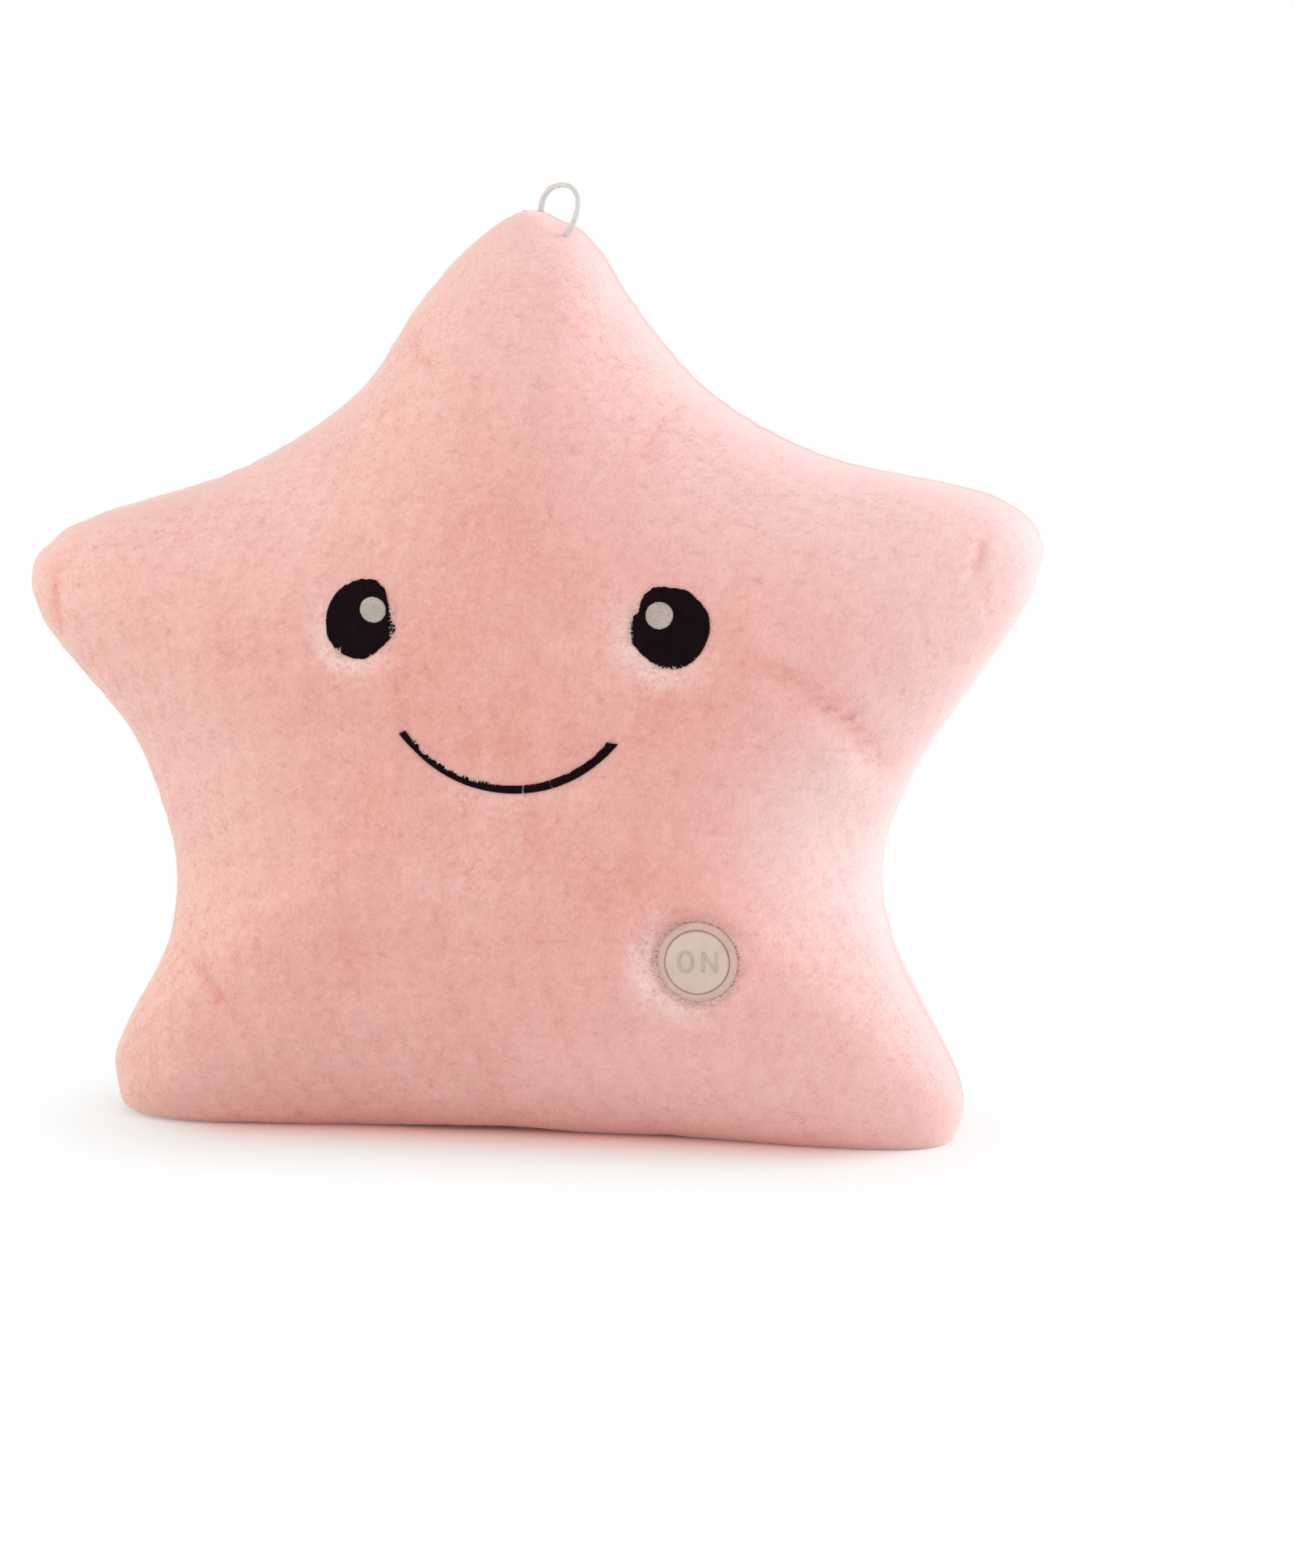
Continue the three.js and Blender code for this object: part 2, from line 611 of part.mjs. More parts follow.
// The smile: a crowned band of thread along an arc
function smile() {
  const section = [[-1, 0], [-1, THREAD_EDGE], [0, THREAD_CROWN], [1, THREAD_EDGE], [1, 0]];
  const place = (turn, side, rise) => {
    const radius = SMILE_RADIUS + side * SMILE_WIDTH / 2;
    const x = SMILE_ACROSS + radius * Math.sin(turn);
    const z = SMILE_UP - radius * Math.cos(turn);
    return new THREE.Vector3(x, -frontDepth(x, z) - GAP - rise, z);
  };
  const stations = Array.from({ length: SMILE_STATIONS }, (_, i) => {
    const turn = rad(SMILE_TURN) * (2 * i / (SMILE_STATIONS - 1) - 1);
    return section.map(([side, rise]) => place(turn, side, rise));
  });
  const tip = rad(SMILE_TURN) + SMILE_WIDTH / 2 / SMILE_RADIUS;
  return solid(loft([[place(-tip, 0, THREAD_EDGE / 2)], ...stations, [place(tip, 0, THREAD_EDGE / 2)]]));
}

// The ring that clamps the plush, with its neck and the ledge that keeps the cap in
function buttonBezel() {
  const outer = BEZEL_DIAMETER / 2;
  const bore = CAP_DIAMETER / 2 + GAP;
  const wide = bore + CAP_FOOT;
  const neck = NECK_DIAMETER / 2;
  const neckEnd = seatY + SKIN + NECK_LENGTH;
  return turned(BUTTON_ACROSS, BUTTON_UP, [
    [bore, bezelFront], [outer - BEZEL_ROUND, bezelFront], [outer, bezelFront + BEZEL_ROUND],
    [outer, bezelBack], [neck, bezelBack], [neck, neckEnd], [wide, neckEnd], [wide, ledgeBack],
    [bore, ledgeBack], [bore, bezelFront],
  ]);
}

// The cap: a cup with a rim that stays behind the ledge and a plunger over the switch
function buttonCap() {
  const outer = CAP_DIAMETER / 2;
  const foot = outer + CAP_FOOT;
  const inner = outer - CAP_WALL;
  const footBack = capFootFront + CAP_FOOT_HEIGHT;
  const roof = capFront + CAP_WALL;
  const plunger = PLUNGER_DIAMETER / 2;
  return turned(BUTTON_ACROSS, BUTTON_UP, [
    [0, capFront], [outer - CAP_ROUND, capFront], [outer, capFront + CAP_ROUND], [outer, capFootFront],
    [foot, capFootFront], [foot, footBack], [inner, footBack], [inner, roof], [plunger, roof],
    [plunger, stemFront - GAP], [0, stemFront - GAP],
  ]);
}

// The cup behind the plush that the neck goes into
function buttonHousing() {
  const bore = NECK_DIAMETER / 2 + GAP;
  const outer = HOUSING_DIAMETER / 2;
  const rim = outer + HOUSING_RIM;
  const hole = LEAD_HOLE_DIAMETER / 2;
  return turned(BUTTON_ACROSS, BUTTON_UP, [
    [bore, housingFront], [rim, housingFront], [rim, housingFront + HOUSING_RIM_HEIGHT],
    [outer, housingFront + HOUSING_RIM_HEIGHT], [outer, housingBack], [hole, housingBack],
    [hole, housingBack - HOUSING_WALL], [bore, housingBack - HOUSING_WALL], [bore, housingFront],
  ]);
}

const switchBoard = () => rod(
  BUTTON_ACROSS, BUTTON_UP, SWITCH_BOARD_DIAMETER, switchBoardFront, switchBoardBack,
);
const switchBody = () => cut(
  blockAt(BUTTON_ACROSS, BUTTON_UP, SWITCH_SIDE, SWITCH_SIDE, switchFront, switchBack),
  rod(BUTTON_ACROSS, BUTTON_UP, STEM_DIAMETER + 2 * GAP, switchFront - OVERRUN, switchBack + OVERRUN),
);
const switchStem = () => rod(BUTTON_ACROSS, BUTTON_UP, STEM_DIAMETER, stemFront, switchFront + STEM_HELD);

const zipTape = (side) => block(
  Math.min(side * tapeInner, side * tapeOuter), Math.max(side * tapeInner, side * tapeOuter),
  tapeBack, tapeFace, zipBottom - TAPE_OVERHANG, zipTop + TAPE_OVERHANG,
);

// One row of teeth with its spine and its top stop, drawn as a comb
function zipTeeth(side) {
  const tooth = TOOTH_PITCH / 2 - GAP;
  const spine = TEETH_HALF_WIDTH - SPINE_WIDTH;
  const first = zipBottom + (side > 0 ? TOOTH_PITCH / 2 : 0) + TOOTH_PITCH / 4;
  const stop = zipTop - STOP_HEIGHT;
  const corners = [[TEETH_HALF_WIDTH, zipBottom], [spine, zipBottom]];
  for (let z = first; z + tooth < stop - GAP; z += TOOTH_PITCH) {
    corners.push([spine, z], [-TOOTH_CROSSING, z + GAP / 2]);
    corners.push([-TOOTH_CROSSING, z + tooth - GAP / 2], [spine, z + tooth]);
  }
  corners.push([spine, stop], [GAP / 2, stop], [GAP / 2, zipTop], [TEETH_HALF_WIDTH, zipTop]);
  return plate(polygon(corners.map(([x, z]) => [side * x, z])), teethBack, teethFace);
}

const zipBottomStop = () => block(
  -TEETH_HALF_WIDTH, TEETH_HALF_WIDTH, teethBack, teethFace, zipBottom - GAP - STOP_HEIGHT, zipBottom - GAP,
);

// The outline of a slider's wing, wide at the mouths and narrow at the tail
function wingShape() {
  const tail = sliderTop - WING_LENGTH;
  const waist = sliderTop - WING_LENGTH / 2;
  const [wide, narrow] = [WING_WIDTH / 2, WING_TAIL_WIDTH / 2];
  const shoulder = sliderTop - WING_FLANGE;
  return polygon([
    [-narrow, tail], [narrow, tail], [wide, waist], [wide, shoulder], [narrow, sliderTop],
    [-narrow, sliderTop], [-wide, shoulder], [-wide, waist],
  ]);
}

// The flanges that keep a wing on the chain, from the wing to the tape
function wingFlanges(y0, y1) {
  const inner = tapeInner;
  const outer = WING_TAIL_WIDTH / 2;
  const tail = sliderTop - WING_LENGTH;
  return join(
    block(-outer, -inner, y0, y1, tail, sliderTop),
    block(inner, outer, y0, y1, tail, sliderTop),
  );
}

// The bail on the outer wing, an arch with a hole for the pull's bar
function bail() {
  const radius = bailHole + BAIL_WALL;
  const arch = new THREE.Shape();
  arch.moveTo(-radius, -(pinY - outerWingBack));
  arch.lineTo(radius, -(pinY - outerWingBack));
  arch.absarc(0, 0, radius, 0, Math.PI, false);
  const hole = new THREE.Path();
  hole.absarc(0, 0, bailHole, 0, 2 * Math.PI, true);
  arch.holes.push(hole);
  const geometry = new THREE.ExtrudeGeometry(arch, {
    depth: BAIL_WIDTH, bevelEnabled: false, curveSegments: BAIL_SIDES / 2,
  });
  geometry.rotateY(Math.PI / 2).translate(-BAIL_WIDTH / 2, pinY, pinUp);
  return solid(geometry);
}

const zipSliderOuter = () => join(
  plate(wingShape(), outerWingBack, outerWingFace), wingFlanges(tapeFace + GAP, outerWingFace), bail(),
);
const zipSliderInner = () => join(
  plate(wingShape(), innerWingBack, innerWingFace), wingFlanges(innerWingBack, tapeBack - GAP),
);

// The pull: a bar through the bail, two arms and a tab with a round end
function zipPull() {
  const [y0, y1] = [pinY - PULL_THICKNESS / 2, pinY + PULL_THICKNESS / 2];
  const inner = PULL_EYE_WIDTH / 2;
  const outer = inner + PULL_ARM;
  const eyeBottom = pinUp - PULL_BAR_DIAMETER / 2 - PULL_EYE;
  const armTop = pinUp + PULL_THICKNESS / 2;
  const bar = new THREE.CylinderGeometry(PULL_BAR_DIAMETER / 2, PULL_BAR_DIAMETER / 2, 2 * outer, LAMP_SIDES);
  const tab = new THREE.Shape();
  const half = PULL_WIDTH / 2;
  const tip = pinUp - PULL_LENGTH;
  tab.moveTo(-outer, eyeBottom);
  tab.lineTo(-half, tip + half);
  tab.absarc(0, tip + half, half, Math.PI, 2 * Math.PI, false);
  tab.lineTo(outer, eyeBottom);
  return join(
    solid(bar.rotateZ(Math.PI / 2).translate(0, pinY, pinUp)),
    block(-outer, -inner, y0, y1, eyeBottom - PULL_ARM, armTop),
    block(inner, outer, y0, y1, eyeBottom - PULL_ARM, armTop),
    plate(tab, y0, y1),
  );
}

// The bag behind the zip, open to it and to the leads
function pocketLining() {
  const back = tapeBack - GAP;
  const half = pocketHalfWidth;
  return cut(
    block(-half, half, pocketFront, back, pocketBottom, pocketTop),
    block(
      -half + LINING, half - LINING, pocketFront + LINING, back - LINING,
      pocketBottom + LINING, pocketTop - LINING,
    ),
    block(
      -WINDOW_HALF_WIDTH, WINDOW_HALF_WIDTH, back - LINING - GAP, back + OVERRUN,
      zipBottom - STOP_HEIGHT - 2 * GAP, zipTop + GAP,
    ),
    rod(0, zipUp, LEAD_HUB_HOLE_DIAMETER, pocketFront - OVERRUN, pocketFront + LINING + GAP),
  );
}

// The case: a bay for the cells behind, one for the board in front, and grooves for the lid
function batteryCase() {
  const [halfBay, halfLength] = [bayWidth / 2, bayLength / 2];
  const bottom = zipUp - caseLength / 2;
  const top = zipUp + halfLength;
  const groove = halfBay + LID_TONGUE + GAP;
  return cut(
    blockAt(0, zipUp, caseWidth, caseLength, caseFront, caseBack),
    blockAt(0, zipUp, bayWidth, bayLength, dividerBack, caseBack + OVERRUN),
    blockAt(0, zipUp, bayWidth, bayLength, caseFront - OVERRUN, dividerFront),
    block(-groove, groove, cellBayBack, lidFace + GAP, bottom - OVERRUN, top),
    block(-halfBay, halfBay, cellBayBack, caseBack + OVERRUN, bottom - OVERRUN, zipUp),
  );
}

// The lid: a plate whose edges run in the grooves, with ribs for the thumb
function batteryLid() {
  const half = bayWidth / 2;
  const bottom = zipUp - caseLength / 2;
  const top = zipUp + bayLength / 2 - GAP;
  const ribs = Array.from({ length: LID_RIB_COUNT }, (_, i) => blockAt(
    0, bottom + LID_RIB_INSET + i * LID_RIB_PITCH, LID_RIB_LENGTH, LID_RIB_WIDTH,
    lidBack, lidFace + LID_RIB_HEIGHT,
  ));
  return join(block(-half - LID_TONGUE, half + LID_TONGUE, lidBack, lidFace, bottom, top), ...ribs);
}

// The plate that closes the board bay, with posts that hold the board and a hole for the leads
function caseBase() {
  const [width, length] = [bayWidth - 2 * GAP, bayLength - 2 * GAP];
  const [postX, postZ] = [BOARD_WIDTH / 2 - POST_INSET, BOARD_LENGTH / 2 - POST_INSET];
  const posts = [[-1, -1], [-1, 1], [1, -1], [1, 1]].map(([sideX, sideZ]) => blockAt(
    sideX * postX, zipUp + sideZ * postZ, POST_SIDE, POST_SIDE, caseFront, boardFront - GAP,
  ));
  return cut(
    join(blockAt(0, zipUp, width, length, caseFront, caseFront + BASE_THICKNESS), ...posts),
    rod(0, zipUp, LEAD_HUB_HOLE_DIAMETER, caseFront - OVERRUN, caseFront + BASE_THICKNESS + OVERRUN),
  );
}

const circuitBoard = () => blockAt(
  0, zipUp, BOARD_WIDTH, BOARD_LENGTH, boardFront, boardFront + BOARD_THICKNESS,
);
const controllerChip = () => blockAt(
  CHIP_ACROSS, zipUp - CHIP_DOWN, CHIP_SIDE, CHIP_SIDE, boardFront - GAP - CHIP_HEIGHT, boardFront - GAP,
);

// Where a cell stands: the first and the last have their springs at the bottom, the middle one at the top
function cellPlace(index) {
  const up = index === 1 ? -1 : 1;
  const springEnd = zipUp - up * bayLength / 2;
  return { across: (index - (CELL_COUNT - 1) / 2) * CELL_PITCH, up, springEnd };
}

// One AA cell, turned about its own axis and stood upright
function battery(index) {
  const { across, up, springEnd } = cellPlace(index);
  const radius = CELL_DIAMETER / 2;
  const shoulder = CELL_LENGTH - NUB_HEIGHT;
  const profile = [
    [0, 0], [radius - CELL_ROUND, 0], [radius, CELL_ROUND], [radius, shoulder - CELL_ROUND],
    [radius - CELL_ROUND, shoulder], [NUB_DIAMETER / 2, shoulder],
    [NUB_DIAMETER / 2, CELL_LENGTH], [0, CELL_LENGTH],
  ];
  const geometry = new THREE.LatheGeometry(profile.map(([r, y]) => new THREE.Vector2(r, y)), ROUND_SIDES);
  const start = springEnd + up * (2 * GAP + CONTACT_THICKNESS + SPRING_LENGTH);
  return solid(geometry.rotateX(up * Math.PI / 2).translate(across, cellY, start));
}

// The conical spring of a contact, as one wire from the wide turn to the narrow one
class ConeCoil extends THREE.Curve {
  getPoint(share, target = new THREE.Vector3()) {
    const wide = (SPRING_WIDE_DIAMETER - SPRING_WIRE) / 2;
    const narrow = (SPRING_NARROW_DIAMETER - SPRING_WIRE) / 2;
    const radius = wide + (narrow - wide) * share;
    const angle = 2 * Math.PI * SPRING_TURNS * share;
    const rise = SPRING_WIRE / 2 + (SPRING_LENGTH - SPRING_WIRE) * share;
    return target.set(radius * Math.cos(angle), radius * Math.sin(angle), rise);
  }
}

// Least distance between the wire's turns, measured from centre line to centre line less the wire
function springClearance() {
  const coil = new ConeCoil();
  const count = SPRING_TURNS * SPRING_STEPS_PER_TURN;
  const points = Array.from({ length: count + 1 }, (_, i) => coil.getPoint(i / count));
  let least = Infinity;
  points.forEach((point, i) => {
    for (let k = i + SPRING_STEPS_PER_TURN / 2; k <= count; k++) {
      least = Math.min(least, point.distanceTo(points[k]) - SPRING_WIRE);
    }
  });
  return least;
}

function contactSpring(across, springEnd, up) {
  const section = new THREE.Shape();
  section.absarc(0, 0, SPRING_WIRE / 2, 0, 2 * Math.PI, false);
  const geometry = new THREE.ExtrudeGeometry(section, {
    steps: SPRING_TURNS * SPRING_STEPS_PER_TURN,
    curveSegments: SPRING_SIDES,
    extrudePath: new ConeCoil(),
    bevelEnabled: false,
  });
  if (up < 0) geometry.rotateX(Math.PI);
  const foot = springEnd + up * (GAP + CONTACT_THICKNESS - SPRING_WIRE / 2);
  return solid(geometry.translate(across, cellY, foot));
}

// A contact plate over the ends of one or two cells, with the springs that stand on it
function contact(firstCell, lastCell, end, springCells) {
  const from = cellPlace(firstCell).across - CONTACT_WIDTH / 2;
  const to = cellPlace(lastCell).across + CONTACT_WIDTH / 2;
  const wall = zipUp + end * bayLength / 2;
  const [z0, z1] = [wall - end * GAP, wall - end * (GAP + CONTACT_THICKNESS)].sort((a, b) => a - b);
  const strip = block(from, to, cellY - CONTACT_WIDTH / 2, cellY + CONTACT_WIDTH / 2, z0, z1);
  return join(strip, ...springCells.map((cell) => contactSpring(cellPlace(cell).across, wall, -end)));
}

// A place that lies a distance out along a heading from the middle of the crown
function outAlong(angle, distance, y) {
  return new THREE.Vector3(MIDDLE.x + Math.cos(angle) * distance, y, MIDDLE.y + Math.sin(angle) * distance);
}

// A turned piece whose axis runs out along a heading in the seam plane
function turnedOut({ angle }, distance, profile) {
  const geometry = new THREE.LatheGeometry(profile.map(([r, y]) => new THREE.Vector2(r, y)), LAMP_SIDES);
  geometry.rotateZ(-Math.PI / 2).translate(distance, 0, 0).rotateY(-angle);
  return solid(geometry.translate(MIDDLE.x, 0, MIDDLE.y));
}

function bulb(point) {
  const radius = BULB_DIAMETER / 2;
  const rim = radius + BULB_RIM;
  return turnedOut(point, point.reach * LAMP_SHARE, [
    [0, 0], [rim, 0], [rim, BULB_RIM_HEIGHT], [radius, BULB_RIM_HEIGHT], [radius, BULB_LENGTH - radius],
    [radius * Math.cos(Math.PI / 4), BULB_LENGTH - radius * (1 - Math.sin(Math.PI / 4))], [0, BULB_LENGTH],
  ]);
}

// The frosted sleeve over a bulb
function lampCap(point) {
  const outer = DIFFUSER_DIAMETER / 2;
  const bore = outer - DIFFUSER_WALL;
  const dome = DIFFUSER_LENGTH - outer;
  const roof = DIFFUSER_LENGTH - DIFFUSER_WALL;
  return turnedOut(point, point.reach * LAMP_SHARE, [
    [0, DIFFUSER_LENGTH], [outer * Math.cos(Math.PI / 4), dome + outer * Math.sin(Math.PI / 4)],
    [outer, dome], [outer, 0], [bore, 0], [bore, dome], [bore / 2, roof - DIFFUSER_WALL / 2], [0, roof],
  ]);
}

// Route of a lamp's lead: from the board straight out of the case, then outwards and into the lamp's base
function lampLeadRoute({ angle, reach }) {
  const base = reach * LAMP_SHARE;
  const [x, z] = [LEAD_HUB_RADIUS * Math.cos(angle), zipUp + LEAD_HUB_RADIUS * Math.sin(angle)];
  return [
    new THREE.Vector3(x, boardFront - GAP, z),
    new THREE.Vector3(x, LEAD_BEND_Y, z),
    outAlong(angle, LEAD_HUB_RADIUS + LEAD_STRAIGHT, 0),
    outAlong(angle, base - LEAD_STRAIGHT, 0),
    outAlong(angle, base - GAP, 0),
  ];
}

// Route of the switch's lead, in front of the lamps' leads
function switchLeadRoute() {
  const z = zipUp - LEAD_HUB_RADIUS;
  return [
    new THREE.Vector3(0, boardFront - GAP, z),
    new THREE.Vector3(0, LEAD_BEND_Y, z),
    new THREE.Vector3(0, SWITCH_LEAD_Y, z),
    new THREE.Vector3(BUTTON_ACROSS / 2, SWITCH_LEAD_Y, (z + BUTTON_UP) / 2),
    new THREE.Vector3(BUTTON_ACROSS, housingBack + LEAD_STRAIGHT, BUTTON_UP),
    new THREE.Vector3(BUTTON_ACROSS, switchBoardBack + GAP, BUTTON_UP),
  ];
}

const lead = (route) => tube(route, LEAD_DIAMETER, LEAD_SIDES, LEAD_STEPS);

// The way that a lead takes through the stuffing
function leadChannel(route) {
  return tube(route, (LEAD_DIAMETER + 2 * GAP) * Math.SQRT2, 4, LEAD_STEPS);
}

function hangLoop() {
  const route = LOOP_ROUTE.map(([x, y, z]) => new THREE.Vector3(x, y, z));
  return tube(route, LOOP_DIAMETER, LOOP_SIDES, LOOP_STEPS);
}

// What the body's stuffing leaves room for: pocket, housing, lamps and leads
function bodyHollows(points) {
  const lampLength = DIFFUSER_LENGTH + GAP;
  const lampRadius = DIFFUSER_DIAMETER / 2 + GAP;
  const housingRoom = HOUSING_DIAMETER + 2 * (HOUSING_RIM + GAP);
  return [
    block(
      -pocketHalfWidth - GAP, pocketHalfWidth + GAP, pocketFront - GAP, BACK_CROWN,
      pocketBottom - GAP, pocketTop + GAP,
    ),
    block(-tapeOuter - GAP, tapeOuter + GAP, tapeBack - GAP, BACK_CROWN,
      zipBottom - TAPE_OVERHANG - GAP, zipTop + TAPE_OVERHANG + GAP),
    rod(BUTTON_ACROSS, BUTTON_UP, housingRoom, -FRONT_CROWN, housingBack + GAP),
    rod(0, zipUp, LEAD_HUB_HOLE_DIAMETER, LEAD_BEND_Y, pocketFront),
    leadChannel(switchLeadRoute()),
    ...points.map((point) => leadChannel(lampLeadRoute(point))),
    ...points.map((point) => turnedOut(point, point.reach * LAMP_SHARE - LAMP_EASE, [
      [0, 0], [lampRadius, 0], [lampRadius, lampLength + LAMP_EASE], [0, lampLength + LAMP_EASE],
    ])),
  ];
}

const group = new THREE.Group();
const points = pointHeadings();
const stuffed = stuffing(bodyHollows(points));
const POINT_NAMES = ['top_point', 'right_point', 'right_foot', 'left_foot', 'left_point'];

group.add(
  piece('front_panel', frontPanel(), PLUSH),
  piece('back_panel_left', backPanel(-1), PLUSH),
  piece('back_panel_right', backPanel(1), PLUSH),
  piece('left_eye', eye(LEFT_EYE), BLACK_THREAD),
  piece('right_eye', eye(RIGHT_EYE), BLACK_THREAD),
  piece('left_eye_glint', glint(LEFT_GLINT), PALE_THREAD),
  piece('right_eye_glint', glint(RIGHT_GLINT), PALE_THREAD),
  piece('smile', smile(), BLACK_THREAD),
  piece('hang_loop', hangLoop(), LOOP_FILAMENT),
  piece('stuffing_body', stuffed.body, STUFFING),
  ...stuffed.points.map((point, i) => piece(`stuffing_${POINT_NAMES[i]}`, point, STUFFING)),
);
group.add(
  piece('button_bezel', buttonBezel(), BEZEL_PLASTIC),
  piece('button_cap', buttonCap(), BUTTON_PLASTIC),
  piece('button_housing', buttonHousing(), WHITE_PLASTIC),
  piece('switch_board', switchBoard(), BOARD_GREEN),
  piece('switch_body', switchBody(), BLACK_PLASTIC),
  piece('switch_stem', switchStem(), BLACK_PLASTIC),
  piece('switch_lead', lead(switchLeadRoute()), LEAD_COVER),
);
group.add(
  piece('zip_tape_left', zipTape(-1), ZIP_CLOTH),
  piece('zip_tape_right', zipTape(1), ZIP_CLOTH),
  piece('zip_teeth_left', zipTeeth(-1), ZIP_TEETH),
  piece('zip_teeth_right', zipTeeth(1), ZIP_TEETH),
  piece('zip_bottom_stop', zipBottomStop(), ZIP_METAL),
  piece('zip_slider_outer', zipSliderOuter(), ZIP_METAL),
  piece('zip_slider_inner', zipSliderInner(), ZIP_METAL),
  piece('zip_pull', zipPull(), ZIP_METAL),
  piece('pocket_lining', pocketLining(), LINING_CLOTH),
);
group.add(
  piece('battery_case', batteryCase(), WHITE_PLASTIC),
  piece('battery_lid', batteryLid(), WHITE_PLASTIC),
  piece('case_base', caseBase(), WHITE_PLASTIC),
  piece('circuit_board', circuitBoard(), BOARD_GREEN),
  piece('controller_chip', controllerChip(), BLACK_PLASTIC),
  piece('battery_contact_negative', contact(0, 0, -1, [0]), CONTACT_METAL),
  piece('battery_link_upper', contact(0, 1, 1, [1]), CONTACT_METAL),
  piece('battery_link_lower', contact(1, 2, -1, [2]), CONTACT_METAL),
  piece('battery_contact_positive', contact(2, 2, 1, []), CONTACT_METAL),
);
for (let cell = 0; cell < CELL_COUNT; cell++) {
  group.add(piece(`battery_${cell + 1}`, battery(cell), CELL_WRAP));
}
points.forEach((point, i) => group.add(
  piece(`lamp_${i + 1}`, bulb(point), BULB_RESIN),
  piece(`lamp_cap_${i + 1}`, lampCap(point), DIFFUSER),
  piece(`lamp_lead_${i + 1}`, lead(lampLeadRoute(point)), LEAD_COVER),
));

console.log(`least gap between the turns of a contact spring: ${springClearance().toFixed(2)} mm`);

export default group;
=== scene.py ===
"""The look of a star-shaped plush night light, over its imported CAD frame.

Lengths are in metres. X runs to the viewer's right, the face looks along -Y and Z points up.
"""
import logging
import math
from dataclasses import dataclass, field
from enum import Enum
from functools import cache
from math import pi, radians, tau
from typing import Callable

import bmesh
import bpy
import numpy as np
from mathutils import Matrix, Vector


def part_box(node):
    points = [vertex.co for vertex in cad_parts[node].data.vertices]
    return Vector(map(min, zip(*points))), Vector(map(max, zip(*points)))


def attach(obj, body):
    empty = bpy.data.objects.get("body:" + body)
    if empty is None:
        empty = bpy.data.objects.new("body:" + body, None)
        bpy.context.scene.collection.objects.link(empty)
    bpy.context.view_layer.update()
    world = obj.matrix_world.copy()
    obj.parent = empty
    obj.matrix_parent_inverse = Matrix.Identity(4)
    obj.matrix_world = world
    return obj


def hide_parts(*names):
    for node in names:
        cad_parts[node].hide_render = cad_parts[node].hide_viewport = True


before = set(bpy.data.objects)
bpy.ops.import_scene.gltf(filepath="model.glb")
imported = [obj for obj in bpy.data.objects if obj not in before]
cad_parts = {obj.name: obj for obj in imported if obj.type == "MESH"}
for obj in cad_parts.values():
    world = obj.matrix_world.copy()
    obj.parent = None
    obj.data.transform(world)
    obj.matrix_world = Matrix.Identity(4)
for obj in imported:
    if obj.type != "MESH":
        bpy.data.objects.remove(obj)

log = logging.getLogger("night_light")
scene = bpy.context.scene
MM = 0.001
FRONT = np.array([0, -1, 0])
Colour = tuple[float, float, float]
Array = np.ndarray
Pair = tuple[Array, Array]
Mesh = bpy.types.Mesh
Piece = bpy.types.Object


def srgb(red: int, green: int, blue: int) -> Colour:
    """The linear colour of three screen values from 0 to 255."""
    screen = np.array([red, green, blue]) / 255
    linear = np.where(screen <= 0.04045, screen / 12.92, ((screen + 0.055) / 1.055) ** 2.4)
    return tuple(float(value) for value in linear)


# Shader building


class Wire:
    """A shader socket that can be reckoned with like a number."""

    def __init__(self, bench: "Bench", socket: bpy.types.NodeSocket) -> None:
        """Keeps the socket and the bench that its node is on."""
        self.bench = bench
        self.socket = socket

    def math(self, operation: str, other: object = 0.0, reflected: bool = False) -> "Wire":
        """The wire of one Math node on this wire and another, or on the other and this one."""
        first, second = (other, self) if reflected else (self, other)
        return self.bench.make("ShaderNodeMath", {"operation": operation}, {0: first, 1: second})

    def __add__(self, other: object) -> "Wire":
        """This wire plus another."""
        return self.math("ADD", other)

    def __sub__(self, other: object) -> "Wire":
        """This wire less another."""
        return self.math("SUBTRACT", other)

    def __rsub__(self, other: object) -> "Wire":
        """Another less this wire."""
        return self.math("SUBTRACT", other, True)

    def __mul__(self, other: object) -> "Wire":
        """This wire times another."""
        return self.math("MULTIPLY", other)

    def __pow__(self, other: object) -> "Wire":
        """This wire to a power."""
        return self.math("POWER", other)

    def __rpow__(self, other: object) -> "Wire":
        """Another to the power of this wire."""
        return self.math("POWER", other, True)

    __radd__, __rmul__ = __add__, __mul__

    def span(self, low: float, high: float) -> "Wire":
        """The wire brought smoothly from a range to 0 and 1, and held at its ends."""
        settings = {"interpolation_type": "SMOOTHSTEP"}
        return self.bench.make("ShaderNodeMapRange", settings, {"Value": self, "From Min": low, "From Max": high})

    def axis(self, name: str) -> "Wire":
        """One part of this place."""
        return self.bench.make("ShaderNodeSeparateXYZ", {}, {0: self}, name)

    def stretched(self, scale: Colour, turn: Colour = (0.0, 0, 0)) -> "Wire":
        """This place turned and scaled, for a pattern that runs one way."""
        sockets = {"Vector": self, "Scale": scale, "Rotation": turn}
        return self.bench.make("ShaderNodeMapping", {"vector_type": "POINT"}, sockets)

    def noise(self, size: float, detail: float = 3.0, rough: float = 0.5, twist: float = 0.0) -> "Wire":
        """Soft noise over this place, its patches about the given size and curled by the twist."""
        sockets = {"Vector": self, "Scale": 1 / size, "Detail": detail, "Roughness": rough, "Distortion": twist}
        return self.bench.make("ShaderNodeTexNoise", {"noise_dimensions": "3D"}, sockets)

    def wave(self, size: float, axis: str) -> "Wire":
        """Slightly uneven ridges over this place, of the given pitch along an axis."""
        settings = {"wave_type": "BANDS", "bands_direction": axis, "wave_profile": "SIN"}
        sockets = {"Vector": self, "Scale": tau / 20 / size, "Distortion": 0.4}
        return self.bench.make("ShaderNodeTexWave", settings, sockets)


